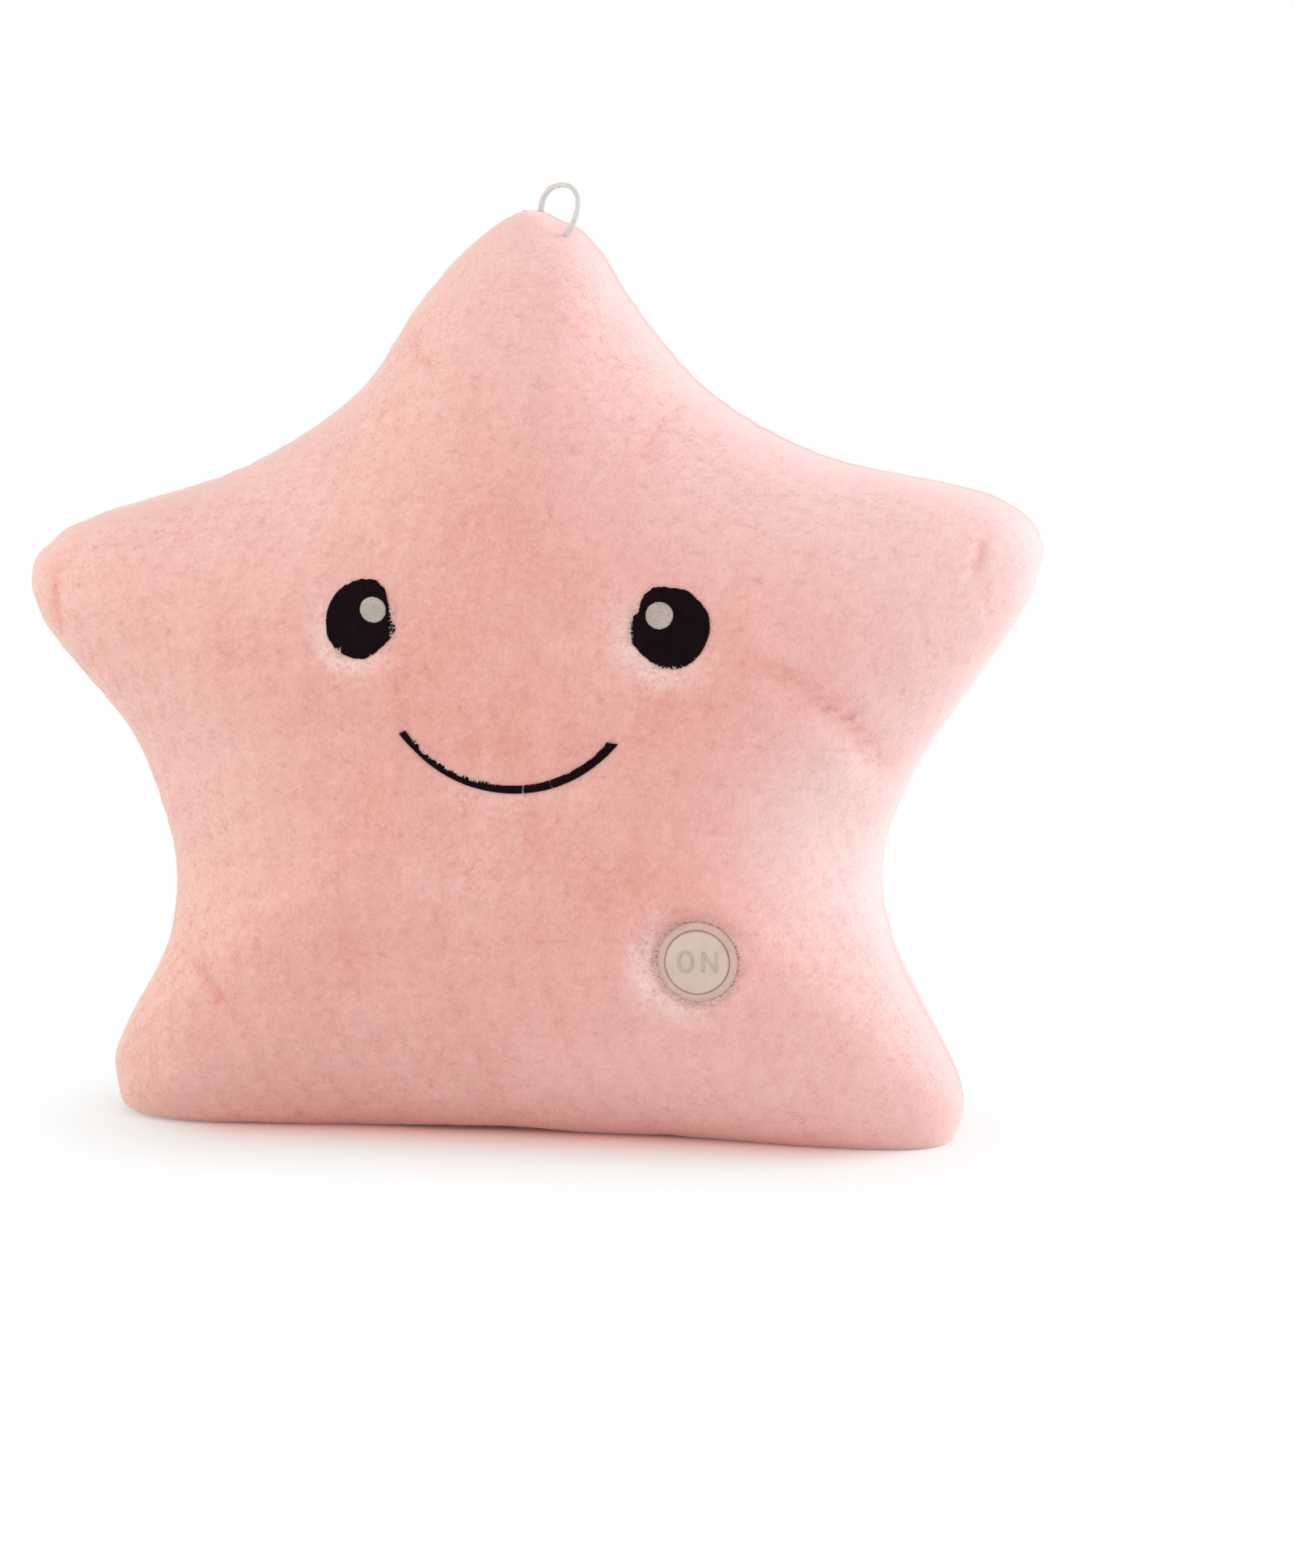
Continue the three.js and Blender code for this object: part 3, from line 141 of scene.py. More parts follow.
class Bench:
    """The node tree of one material or world."""

    def __init__(self, owner: bpy.types.Material | bpy.types.World) -> None:
        """Starts with an empty tree."""
        self.owner = owner
        owner.use_nodes = True
        self.tree = owner.node_tree
        self.tree.nodes.clear()

    def make(self, kind: str, settings: dict, sockets: dict, out: object = 0) -> Wire:
        """Adds a node of any kind.

        Args:
            kind: The node's type name.
            settings: Values of the node's own properties.
            sockets: Wires or values for its inputs, by name or number.
            out: The output that is wanted, by name or number.

        Returns:
            The wire from that output.
        """
        node = self.tree.nodes.new(kind)
        for key, value in settings.items():
            setattr(node, key, value)
        for key, value in sockets.items():
            if isinstance(value, Wire):
                self.tree.links.new(value.socket, node.inputs[key])
            else:
                node.inputs[key].default_value = value
        return Wire(self, node.outputs[out])

    def place(self) -> Wire:
        """Where on the object a point lies, in its own coordinates."""
        return self.make("ShaderNodeTexCoord", {}, {}, "Object")

    def attribute(self, name: str) -> Wire:
        """A value that the mesh carries at each corner."""
        return self.make("ShaderNodeAttribute", {"attribute_name": name}, {}, "Fac")

    def blend(self, share: Wire, first: object, second: object) -> Wire:
        """Two colours mixed by a share."""
        ends = {key: value if isinstance(value, Wire) else (*value, 1) for key, value in ((6, first), (7, second))}
        return self.make("ShaderNodeMix", {"data_type": "RGBA"}, {0: share, **ends}, 2)

    def shaded(self, share: Wire, colour: Colour, dark: float) -> Wire:
        """A colour that a share brings up from its darker self."""
        return self.blend(share, tuple(value * dark for value in colour), colour)

    def mixed(self, share: object, first: Wire, second: Wire) -> Wire:
        """Two shaders mixed by a share."""
        return self.make("ShaderNodeMixShader", {}, {0: share, 1: first, 2: second})

    def bump(self, height: Wire, depth: float, strength: float) -> Wire:
        """A bumped normal from a height from 0 to 1 and its depth in metres."""
        return self.make("ShaderNodeBump", {}, {"Height": height, "Distance": depth, "Strength": strength})

    def principled(self, **sockets: object) -> Wire:
        """The surface shader, with underscores in names for spaces."""
        plain = {}
        for key, value in sockets.items():
            coloured = isinstance(value, tuple) and key in ("Base_Color", "Sheen_Tint")
            plain[key.replace("_", " ")] = (*value, 1) if coloured else value
        return self.make("ShaderNodeBsdfPrincipled", {}, plain)

    def finish(self, shader: Wire) -> bpy.types.Material | bpy.types.World:
        """Joins the shader to an output and hands over the material or world."""
        kind = "World" if isinstance(self.owner, bpy.types.World) else "Material"
        node = self.tree.nodes.new(f"ShaderNodeOutput{kind}")
        self.tree.links.new(shader.socket, node.inputs["Surface"])
        return self.owner


# Finishes


@dataclass(frozen=True)
class SurfaceFinish:
    """What every finish has: its material's name, a slot name and a main colour."""

    name: str
    slot: str
    colour: Colour

    def shader(self, bench: Bench, place: Wire) -> Wire:
        """The finish's shader.

        Args:
            bench: Where its nodes go.
            place: The place on the object.

        Returns:
            The shader's wire.
        """
        raise NotImplementedError

    def build(self) -> bpy.types.Material:
        """The finish's material."""
        bench = Bench(bpy.data.materials.new(self.name))
        return bench.finish(self.shader(bench, bench.place()))


@dataclass(frozen=True)
class PileFinish(SurfaceFinish):
    """What the plush and its loose ends share: a deep colour, an edge colour for painted rim light towards the seam
    and a crease colour for painted shade in the folds, beside the pale main one.
    """

    deep: Colour
    # The edge colour is painted rim light, blended in towards the seam.
    edge: Colour
    # The crease colour is painted shade, laid into the folds.
    crease: Colour = srgb(234, 154, 144)

    def with_painted_rim_light(self, bench: Bench, colour: Wire) -> Wire:
        """A colour brought towards the edge colour near the seam: painted rim light."""
        return bench.blend(bench.attribute("painted_rim_light"), colour, self.edge)

    def with_painted_crease_shade(self, bench: Bench, colour: Wire, share: float) -> Wire:
        """A colour darkened towards the crease colour in the folds: painted shade."""
        return bench.blend(bench.attribute("crease") * share, colour, self.crease)


@dataclass(frozen=True)
class PlushFinish(PileFinish):
    """Short-pile velour: mottled pink, matte, with a pale sheen at grazing angles, painted rim light towards the seam
    and painted shade in the creases.
    """

    sheen: float = 0.9
    pile_depth: float = 0.6 * MM

    def shader(self, bench: Bench, place: Wire) -> Wire:
        """Pile brushed one way shows as soft streaks, and single tufts as a fine grain."""
        drift = place.noise(55 * MM, 2)
        streak = place.stretched((1, 1, 0.4), (0, 0.3, 0)).noise(15 * MM, 3, 0.55, 0.8)
        brushed = place.stretched((1, 1, 0.6), (0, 0.4, 0)).noise(2.6 * MM, 3, 0.6, 1.6)
        grain = place.noise(1 * MM, 2, 0.6)
        mottle = (drift - 0.5) * 0.6 + (streak - 0.5) * 0.65
        share = mottle + (brushed - 0.5) * 0.9 + (grain - 0.5) * 0.5 + 0.5
        # Painted rim light: the colour turns paler towards the seam.
        colour = self.with_painted_rim_light(bench, bench.blend(share.span(0.05, 0.95), self.deep, self.colour))
        pressed = tuple(0.6 + 0.4 * value for value in self.colour)
        colour = bench.blend(bench.attribute("matted") * 0.9, colour, pressed)
        # The base colour also carries painted shade in the creases.
        return bench.principled(
            Base_Color=self.with_painted_crease_shade(bench, colour, 0.6), Roughness=0.95, Specular_IOR_Level=0.1,
            Normal=bench.bump(grain * 0.45 + brushed * 0.55, self.pile_depth, 0.35),
            Sheen_Weight=self.sheen, Sheen_Roughness=0.4, Sheen_Tint=srgb(255, 240, 238),
        )


@dataclass(frozen=True)
class FibreEndFinish(PileFinish):
    """Loose ends of the pile: the plush's colours, lit through as thin fibre is."""

    through: float = 0.32

    def shader(self, bench: Bench, place: Wire) -> Wire:
        """A diffuse face mixed with light from behind."""
        drift = place.noise(55 * MM, 2) * 0.25 + place.noise(14 * MM, 3) * 0.22 + 0.04
        share = drift + place.noise(2.4 * MM, 2, 0.6, 1.2) * 0.45
        # Painted rim light towards the seam, then painted shade in the creases.
        colour = self.with_painted_rim_light(bench, bench.blend(share.span(0.34, 0.66), self.deep, self.colour))
        colour = self.with_painted_crease_shade(bench, colour, 0.45)
        face = bench.principled(Base_Color=colour, Roughness=0.9, Specular_IOR_Level=0.05, Sheen_Weight=0.4)
        return bench.mixed(self.through, face, bench.make("ShaderNodeBsdfTranslucent", {}, {"Color": colour}))


@dataclass(frozen=True)
class ThreadFinish(SurfaceFinish):
    """Embroidery thread: two colours of twisted fibre with a satin gleam."""

    worn: Colour
    roughness: float = 0.6
    gleam: float = 0.2

    def shader(self, bench: Bench, place: Wire) -> Wire:
        """Darker and lighter from strand to strand."""
        strand = place.noise(0.5 * MM, 2, 0.6)
        patch = place.noise(7 * MM, 3)
        return bench.principled(
            Base_Color=bench.blend((strand * 0.6 + patch * 0.4).span(0.35, 0.8), self.colour, self.worn),
            Roughness=patch * 0.25 + self.roughness, Normal=bench.bump(strand, 0.1 * MM, 0.4),
            Specular_IOR_Level=self.gleam,
        )


@dataclass(frozen=True)
class PlasticFinish(SurfaceFinish):
    """Moulded plastic with a faint mottle and fine scuffs; through is its share of light let in."""

    roughness: float = 0.4
    through: float = 0.0

    def shader(self, bench: Bench, place: Wire) -> Wire:
        """Slow clouds in the colour, fine scuffs in the gleam."""
        cloud = place.noise(9 * MM, 3)
        fine = place.noise(0.8 * MM, 2, 0.6)
        return bench.principled(
            Base_Color=bench.shaded(cloud.span(0.3, 0.75), self.colour, 0.88),
            Roughness=fine * 0.15 + cloud * 0.1 + (self.roughness - 0.1), Normal=bench.bump(fine, 0.03 * MM, 0.35),
            Specular_IOR_Level=0.4, Subsurface_Weight=self.through, Subsurface_Radius=(0.004, 0.003, 0.0025),
            Subsurface_Scale=1,
        )


@dataclass(frozen=True)
class MetalFinish(SurfaceFinish):
    """Plated metal with drawn lines and dull patches."""

    roughness: float = 0.28

    def shader(self, bench: Bench, place: Wire) -> Wire:
        """Handling marks change the gleam."""
        lines = place.stretched((1, 1, 0.08)).noise(0.25 * MM, 2)
        marks = place.noise(2.5 * MM, 4, 0.6)
        return bench.principled(
            Base_Color=bench.shaded(marks.span(0.35, 0.7), self.colour, 0.8), Metallic=1,
            Roughness=marks * 0.25 + lines * 0.1 + (self.roughness - 0.12),
            Normal=bench.bump(lines * 0.5 + marks * 0.5, 0.02 * MM, 0.5),
        )


@dataclass(frozen=True)
class ClothFinish(SurfaceFinish):
    """Plain-woven cloth."""

    pitch: float = 0.5 * MM

    def shader(self, bench: Bench, place: Wire) -> Wire:
        """Warp and weft cross as two sets of ridges."""
        crossing = place.wave(self.pitch, "X") * 0.55 + place.wave(self.pitch * 1.15, "Z") * 0.45
        slub = place.noise(5 * MM, 3)
        return bench.principled(
            # Darker between the weave's ridges, which is painted shade, and varied by the yarn's slubs, its own tone.
            Base_Color=bench.shaded((crossing * 0.6 + slub * 0.5).span(0.25, 0.8), self.colour, 0.72),
            Roughness=0.9, Normal=bench.bump(crossing, 0.12 * MM, 0.7), Sheen_Weight=0.15, Specular_IOR_Level=0.15,
        )


@dataclass(frozen=True)
class FillFinish(SurfaceFinish):
    """Loose white fibre fill."""

    def shader(self, bench: Bench, place: Wire) -> Wire:
        """Matted clumps with fine hairs over them, the colour darker where they lie low: painted shade in the
        hollows.
        """
        clumps = place.noise(12 * MM, 5, 0.65)
        hairs = place.stretched((1, 0.3, 0.6), (0.4, 0.7, 0.2)).noise(0.9 * MM, 4, 0.7)
        rise = clumps * 0.6 + hairs * 0.4
        return bench.principled(
            Base_Color=bench.shaded(rise.span(0.3, 0.7), self.colour, 0.8), Roughness=1,
            Normal=bench.bump(rise, 1.5 * MM, 0.8), Sheen_Weight=0.3, Specular_IOR_Level=0.1,
        )


@dataclass(frozen=True)
class BoardFinish(SurfaceFinish):
    """Green lacquered circuit board with copper tracks under the lacquer."""

    track: Colour

    def shader(self, bench: Bench, place: Wire) -> Wire:
        """The tracks are the edges of large square cells."""
        settings = {"feature": "F1", "distance": "CHEBYCHEV"}
        tracks = bench.make("ShaderNodeTexVoronoi", settings, {"Vector": place, "Scale": 240}).span(0.34, 0.42)
        return bench.principled(
            Base_Color=bench.blend(tracks, self.colour, self.track), Normal=bench.bump(tracks, 0.04 * MM, 0.8),
            Roughness=place.noise(1.5 * MM, 2) * 0.2 + 0.25, Coat_Weight=0.3, Coat_Roughness=0.15,
        )


@dataclass(frozen=True)
class CellFinish(SurfaceFinish):
    """Printed film round a dry cell: a dark band, a pale band and bare metal ends."""

    band: Colour
    metal: Colour
    middle: float = 0.149
    half_length: float = 24.4 * MM
    band_length: float = 14 * MM

    def shader(self, bench: Bench, place: Wire) -> Wire:
        """Bands along Z from the cell's middle."""
        up = place.axis("Z") - self.middle
        bare = up.math("ABSOLUTE").span(self.half_length - 0.1 * MM, self.half_length)
        band_start = self.half_length - self.band_length
        pale = up.span(band_start, band_start + 0.2 * MM)
        return bench.principled(
            Base_Color=bench.blend(bare, bench.blend(pale, self.colour, self.band), self.metal), Metallic=bare,
            Roughness=place.noise(3 * MM, 4) * 0.2 + 0.2, Coat_Weight=0.2,
        )


@dataclass(frozen=True)
class ClearFinish(SurfaceFinish):
    """Clear or frosted plastic that light passes."""

    roughness: float
    clear: float

    def shader(self, bench: Bench, place: Wire) -> Wire:
        """Faintly streaked."""
        streak = place.noise(1.5 * MM, 3)
        return bench.principled(
            Base_Color=bench.shaded(streak, self.colour, 0.9), Roughness=streak * 0.15 + self.roughness,
            Transmission_Weight=self.clear, IOR=1.42,
        )


@dataclass(frozen=True)
class FloorFinish(SurfaceFinish):
    """A white studio floor that keeps shadows, with a reddish painted shade and bounce light under the star."""

    painted_bounce_shade: Colour = (0.92, 0.43, 0.34)
    wide: float = 0.1
    clear: float = 0.1

    def shader(self, bench: Bench, place: Wire) -> Wire:
        """A matte face, and a glow away from the star that the camera and clear and shiny pieces alone see."""
        glow = bench.make("ShaderNodeEmission", {}, {"Color": (1, 1, 1, 1), "Strength": 1})
        camera, shiny, clear = (
            bench.make("ShaderNodeLightPath", {}, {}, f"Is {ray} Ray") for ray in ("Camera", "Glossy", "Transmission")
        )
        aside = (place.axis("X").math("ABSOLUTE") - self.wide).math("MAXIMUM", 0)
        along = place.axis("Y")
        off = (aside * aside + along * along) ** 0.5
        # Painted shade: the floor is painted reddish close to the star's foot, for its contact shadow and the pink
        # light bounced off the plush.
        colour = bench.blend(off.span(0, 0.05), self.painted_bounce_shade, self.colour)
        face = bench.principled(Base_Color=colour, Roughness=1, Specular_IOR_Level=0)
        return bench.mixed((camera + shiny + clear) * off.span(0, self.clear), face, glow)


class Finish(Enum):
    """Every finish of the night light."""

    # For PLUSH, PILE and LONG_PILE the third colour is the edge colour of the painted rim light.
    PLUSH = PlushFinish("plush", "plush", srgb(241, 190, 183), srgb(231, 162, 152), srgb(249, 214, 211))
    PILE = FibreEndFinish("plush_pile", "plush", srgb(255, 221, 215), srgb(247, 192, 183), srgb(255, 236, 236))
    LONG_PILE = FibreEndFinish("long_pile", "plush", srgb(255, 240, 236), srgb(250, 218, 212), srgb(255, 240, 237))
    PINK_THREAD = ThreadFinish("pink_thread", "plush", srgb(214, 148, 138), srgb(232, 172, 162), gleam=0.15)
    BLACK_THREAD = ThreadFinish("black_thread", "black_thread", srgb(20, 8, 12), srgb(33, 20, 26), gleam=0.05)
    PALE_THREAD = ThreadFinish("pale_thread", "pale_thread", srgb(178, 164, 158), srgb(216, 204, 198))
    CAP = PlasticFinish("button_cap_plastic", "button_plastic", srgb(221, 201, 189), 0.4, 0.25)
    LETTERS = PlasticFinish("button_letter_plastic", "button_plastic", srgb(203, 184, 171), 0.45, 0.15)
    BEZEL = PlasticFinish("button_bezel_plastic", "bezel_plastic", srgb(222, 190, 179), 0.42, 0.2)
    WHITE_PLASTIC = PlasticFinish("white_plastic", "", srgb(236, 233, 226), 0.45)
    BLACK_PLASTIC = PlasticFinish("black_plastic", "", srgb(26, 26, 28), 0.45)
    LEAD = PlasticFinish("lead_cover", "", srgb(234, 228, 220), 0.5)
    BOARD = BoardFinish("circuit_board_green", "", srgb(22, 96, 52), srgb(64, 140, 70))
    ZIP_CLOTH = ClothFinish("zip_tape_cloth", "zip_cloth", srgb(231, 171, 161))
    ZIP_TEETH = PlasticFinish("zip_teeth_nylon", "zip_teeth", srgb(228, 165, 154), 0.3)
    ZIP_METAL = MetalFinish("zip_slider_metal", "zip_metal", srgb(200, 200, 203))
    LINING = ClothFinish("pocket_lining_cloth", "lining", srgb(243, 236, 228), 0.7 * MM)
    STUFFING = FillFinish("fibre_fill", "stuffing", srgb(246, 244, 240))
    CONTACT = MetalFinish("battery_contact_metal", "", srgb(196, 198, 200), 0.24)
    CELL = CellFinish("battery_film", "", srgb(38, 66, 116), srgb(214, 216, 218), srgb(190, 190, 190))
    BULB = ClearFinish("bulb_resin", "", srgb(250, 248, 244), 0.08, 0.85)
    DIFFUSER = ClearFinish("lamp_cap_silicone", "", srgb(246, 244, 240), 0.5, 0.5)
    LOOP = ClearFinish("loop_filament", "loop_filament", srgb(240, 238, 236), 0.25, 0.45)


@cache
def material(finish: Finish) -> bpy.types.Material:
    """The material of a finish, built once."""
    return finish.value.build()


# Surfaces from arrays


def bell(value: Array, middle: float, width: float, power: int = 2) -> Array:
    """A bell over a value: exp(-((value - middle) / width) ** power)."""
    return np.exp(-(((value - middle) / width) ** power))


def spot(x: Array, z: Array, middle: tuple[float, float], radii: tuple[float, float]) -> Array:
    """A bell over places across and up."""
    return bell(x, middle[0], radii[0]) * bell(z, middle[1], radii[1])


def ramp(value: Array, start: float, end: float) -> Array:
    """A straight ramp over a value, 0 up to start and 1 from end on; start may be the greater."""
    return np.clip((value - start) / (end - start), 0, 1)


def unit(rows: Array) -> Array:
    """Vectors brought to a length of 1."""
    return rows / np.maximum(np.linalg.norm(rows, axis=-1, keepdims=True), 1e-12)


@dataclass
class Faces:
    """Corners and faces of a mesh, gathered part by part."""

    points: list[Array] = field(default_factory=list)
    quads: list[Array] = field(default_factory=lambda: [np.zeros((0, 4), int)])
    triangles: list[Array] = field(default_factory=lambda: [np.zeros((0, 3), int)])
    count: int = 0

    def add(self, points: Array, quads: Array = (), triangles: Array = ()) -> int:
        """Adds corners with the faces between them.

        Args:
            points: Corners, in rows of three.
            quads: Corner numbers of four-sided faces within these points.
            triangles: Corner numbers of three-sided faces within these points.

        Returns:
            The number that the first of these corners has in the whole.
        """
        start = self.count
        self.points.append(np.asarray(points, float).reshape(-1, 3))
        self.count += len(self.points[-1])
        self.quads.append(np.asarray(quads, int).reshape(-1, 4) + start)
        self.triangles.append(np.asarray(triangles, int).reshape(-1, 3) + start)
        return start

    def mesh(self, name: str) -> Mesh:
        """The gathered arrays as a smooth mesh."""
        points, quads, triangles = (np.concatenate(part) for part in (self.points, self.quads, self.triangles))
        sizes = np.concatenate([np.full(len(quads), 4), np.full(len(triangles), 3)])
        mesh = bpy.data.meshes.new(name)
        mesh.vertices.add(len(points))
        mesh.vertices.foreach_set("co", points.astype(np.float32).ravel())
        mesh.loops.add(sizes.sum())
        mesh.loops.foreach_set("vertex_index", np.concatenate([quads.ravel(), triangles.ravel()]).astype(np.int32))
        mesh.polygons.add(len(sizes))
        mesh.polygons.foreach_set("loop_start", (np.cumsum(sizes) - sizes).astype(np.int32))
        mesh.polygons.foreach_set("use_smooth", np.ones(len(sizes), bool))
        mesh.update(calc_edges=True)
        mesh.validate()
        return mesh


def grid_faces(rows: int, columns: int, closed: bool, flipped: bool = False) -> Array:
    """Corner numbers of the faces of a grid of rows and columns, joined round its columns where closed."""
    row, column = np.meshgrid(np.arange(rows - 1), np.arange(columns if closed else columns - 1), indexing="ij")
    near, far = row * columns, (row + 1) * columns
    following = (column + 1) % columns
    quads = np.stack([near + column, near + following, far + following, far + column], -1).reshape(-1, 4)
    return quads[:, ::-1] if flipped else quads


def grid_normals(points: Array) -> Array:
    """Unit normals of a grid joined round its columns: the cross product of its slopes along rows and columns."""
    return unit(np.cross((np.roll(points, -1, 1) - np.roll(points, 1, 1)) / 2, np.gradient(points, axis=0)))


def shells(faces: Faces, rings: Array, ends: Array) -> None:
    """Adds closed shells, each a stack of rings with a fan to a middle point at both ends.

    Args:
        faces: Where the shells go.
        rings: Corners by shell, ring and place round the ring.
        ends: The middles of each shell's first and last fan, in rows of three.
    """
    count, rows, columns, _ = rings.shape
    base = np.arange(count)[:, None, None] * rows * columns
    start = faces.add(rings, grid_faces(rows, columns, True)[None] + base)
    first = start + base[:, :, 0] + np.arange(columns)
    last = first + (rows - 1) * columns
    middles = faces.add(ends) + 2 * np.arange(count)[:, None] + 0 * first
    faces.triangles.append(np.stack([middles, np.roll(first, -1, 1), first], -1).reshape(-1, 3))
    faces.triangles.append(np.stack([middles + 1, last, np.roll(last, -1, 1)], -1).reshape(-1, 3))


def tubes(faces: Faces, paths: Array, radii: Array, up: Array, sides: int, flat: float = 1.0) -> None:
    """Adds closed tubes: path + radius * (cos(angle) * side + flat * sin(angle) * rise), square to the path.

    Args:
        faces: Where the tubes go.
        paths: Points by tube and by step.
        radii: Radius by tube and by step, or one for all.
        up: Rough upward direction.
        sides: Corners round a tube.
        flat: Height of the section over its width.
    """
    along = unit(np.gradient(paths, axis=1))
    side = unit(np.cross(along, np.broadcast_to(up, paths.shape)))[:, :, None]
    rise = np.cross(side, along[:, :, None])
    angle = np.arange(sides)[:, None] * tau / sides
    ring = np.cos(angle) * side + flat * np.sin(angle) * rise
    radii = np.broadcast_to(radii, paths.shape[:2])[..., None, None]
    shells(faces, paths[:, :, None] + radii * ring, paths[:, [0, -1]])


def lathe(faces: Faces, profile: Array, centre: tuple[float, float], sides: int = 112) -> None:
    """Adds a solid turned about the Y axis.

    Args:
        faces: Where the solid goes.
        profile: Radius and depth of each corner. It starts and ends on the axis, or else it closes on itself.
        centre: Place of the axis across and up.
        sides: Corners round the axis.
    """
    angle = np.arange(sides) * tau / sides
    radius, depth = profile[:, :1], profile[:, 1:]
    across, up = centre[0] + radius * np.cos(angle), centre[1] + radius * np.sin(angle)
    rings = np.stack(np.broadcast_arrays(across, depth, up), -1)
    if profile[0, 0] > 0:
        faces.add(rings, grid_faces(len(profile) + 1, sides, True) % (len(profile) * sides))
    else:
        shells(faces, rings[None, 1:-1], rings[[0, -1], 0])


def rounded(corners: Array, steps: int = 6) -> Array:
    """A profile with its corners rounded.

    Args:
        corners: Radius and depth of each corner and the size of its rounding.
        steps: Points on each rounding.

    Returns:
        Radius and depth of each point, where a rounding is the curve of squares between its two ends.
    """
    places = corners[:, :2]
    share = np.linspace(0, 1, steps)[:, None]
    out = [places[:1]]
    for before, place, after, (_, _, size) in zip(places, places[1:], places[2:], corners[1:]):
        first, last = place + unit(before - place) * size, place + unit(after - place) * size
        curve = (1 - share) ** 2 * first + 2 * share * (1 - share) * place + share ** 2 * last
        out.append(curve if size > 0 else place[None])
    return np.concatenate([*out, places[-1:]])


def spline(knots: Array, steps: int) -> Array:
    """A smooth curve by the cubics whose slopes come from the roots of the distances between four neighbours.

    Args:
        knots: Places, of which the first and the last two only guide the curve.
        steps: Points from one knot to the next.

    Returns:
        The points from the second knot up to, but without, the last but one.
    """
    p0, p1, p2, p3 = knots[:-3], knots[1:-2], knots[2:-1], knots[3:]
    d0, d1, d2 = (np.sqrt(np.linalg.norm(b - a, axis=1))[:, None] for a, b in ((p0, p1), (p1, p2), (p2, p3)))
    t1 = ((p1 - p0) / d0 - (p2 - p0) / (d0 + d1) + (p2 - p1) / d1) * d1
    t2 = ((p2 - p1) / d1 - (p3 - p1) / (d1 + d2) + (p3 - p2) / d2) * d1
    t = (np.arange(steps) / steps)[:, None]
    a, b, c, d = (value[:, None] for value in (p1, t1, -3 * p1 + 3 * p2 - 2 * t1 - t2, 2 * p1 - 2 * p2 + t1 + t2))
    return (a + b * t + c * t ** 2 + d * t ** 3).reshape(-1, knots.shape[1])


def smooth_ring(corners: Array, steps: int) -> Array:
    """A closed curve through corners, by the cubic of even knots, with steps points between two corners."""
    p0, p1, p2, p3 = (np.roll(corners, shift, 0)[:, None] for shift in (1, 0, -1, -2))
    t = (np.arange(steps) / steps)[None, :, None]
    curve = 2 * p1 + (p2 - p0) * t + (2 * p0 - 5 * p1 + 4 * p2 - p3) * t ** 2 + (3 * p1 - p0 - 3 * p2 + p3) * t ** 3
    return curve.reshape(-1, 2) / 2


def waves(
    points: Array, random: np.random.Generator, count: int, lengths: tuple[float, float], pushed: bool = True,
) -> Array:
    """A field of chance pushes: a sum of sine waves that each travel their own way.

    Args:
        points: Places, in rows of three.
        random: Where chance comes from.
        count: How many waves.
        lengths: The shortest and the longest wave, in millimetres.
        pushed: Whether each wave pushes its own way too, or all along (1, 1, 1).

    Returns:
        The pushes, in rows of three.
    """
    total = np.zeros_like(points)
    for _ in range(count):
        way = random.normal(0, 1, 3)
        way *= tau / (random.uniform(*lengths) * MM) / np.linalg.norm(way)
        wave = np.sin(points @ way + random.uniform(0, tau))[:, None]
        total += wave * (random.normal(0, 1, 3) if pushed else 1)
    return total


def read(source: object, name: str, kind: type = np.float32) -> Array:
    """Values of three from a mesh's collection, in rows."""
    values = np.empty(len(source) * 3, kind)
    source.foreach_get(name, values)
    return values.reshape(-1, 3)


def vertex_arrays(mesh: Mesh) -> Pair:
    """The places and normals of a mesh's corners, in rows of three."""
    return read(mesh.vertices, "co").astype(float), read(mesh.vertex_normals, "vector").astype(float)


def outward(mesh: Mesh) -> Mesh:
    """Turns the mesh's faces outwards where its signed volume is below zero, and hands it back."""
    mesh.calc_loop_triangles()
    corners = read(mesh.loop_triangles, "vertices", np.int32)
    a, b, c = np.moveaxis(read(mesh.vertices, "co").astype(float)[corners], 1, 0)
    if (a * np.cross(b, c)).sum() < 0:
        mesh.flip_normals()
    return mesh


def placed(name: str, data: bpy.types.ID) -> Piece:
    """A new object in the scene."""
    piece = bpy.data.objects.new(name, data)
    scene.collection.objects.link(piece)
    return piece


def modify(piece: Piece, kind: str, **settings: object) -> None:
    """Puts the result of one modifier into a piece's mesh."""
    modifier = piece.modifiers.new(kind.lower(), kind)
    for key, value in settings.items():
        setattr(modifier, key, value)
    bpy.context.view_layer.update()
    shaped = piece.evaluated_get(bpy.context.evaluated_depsgraph_get())
    old, piece.data = piece.data, bpy.data.meshes.new_from_object(shaped)
    piece.modifiers.clear()
    bpy.data.meshes.remove(old)


def merged_copy(node: str, angle: float) -> Mesh:
    """A copy of a CAD node's mesh, its doubles merged and faces that turn less than an angle joined."""
    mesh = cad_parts[node].data.copy()
    shape = bmesh.new()
    shape.from_mesh(mesh)
    bmesh.ops.remove_doubles(shape, verts=shape.verts[:], dist=0.001 * MM)
    bmesh.ops.dissolve_limit(shape, angle_limit=angle, verts=shape.verts[:], edges=shape.edges[:])
    shape.to_mesh(mesh)
    shape.free()
    return mesh


# The star's form


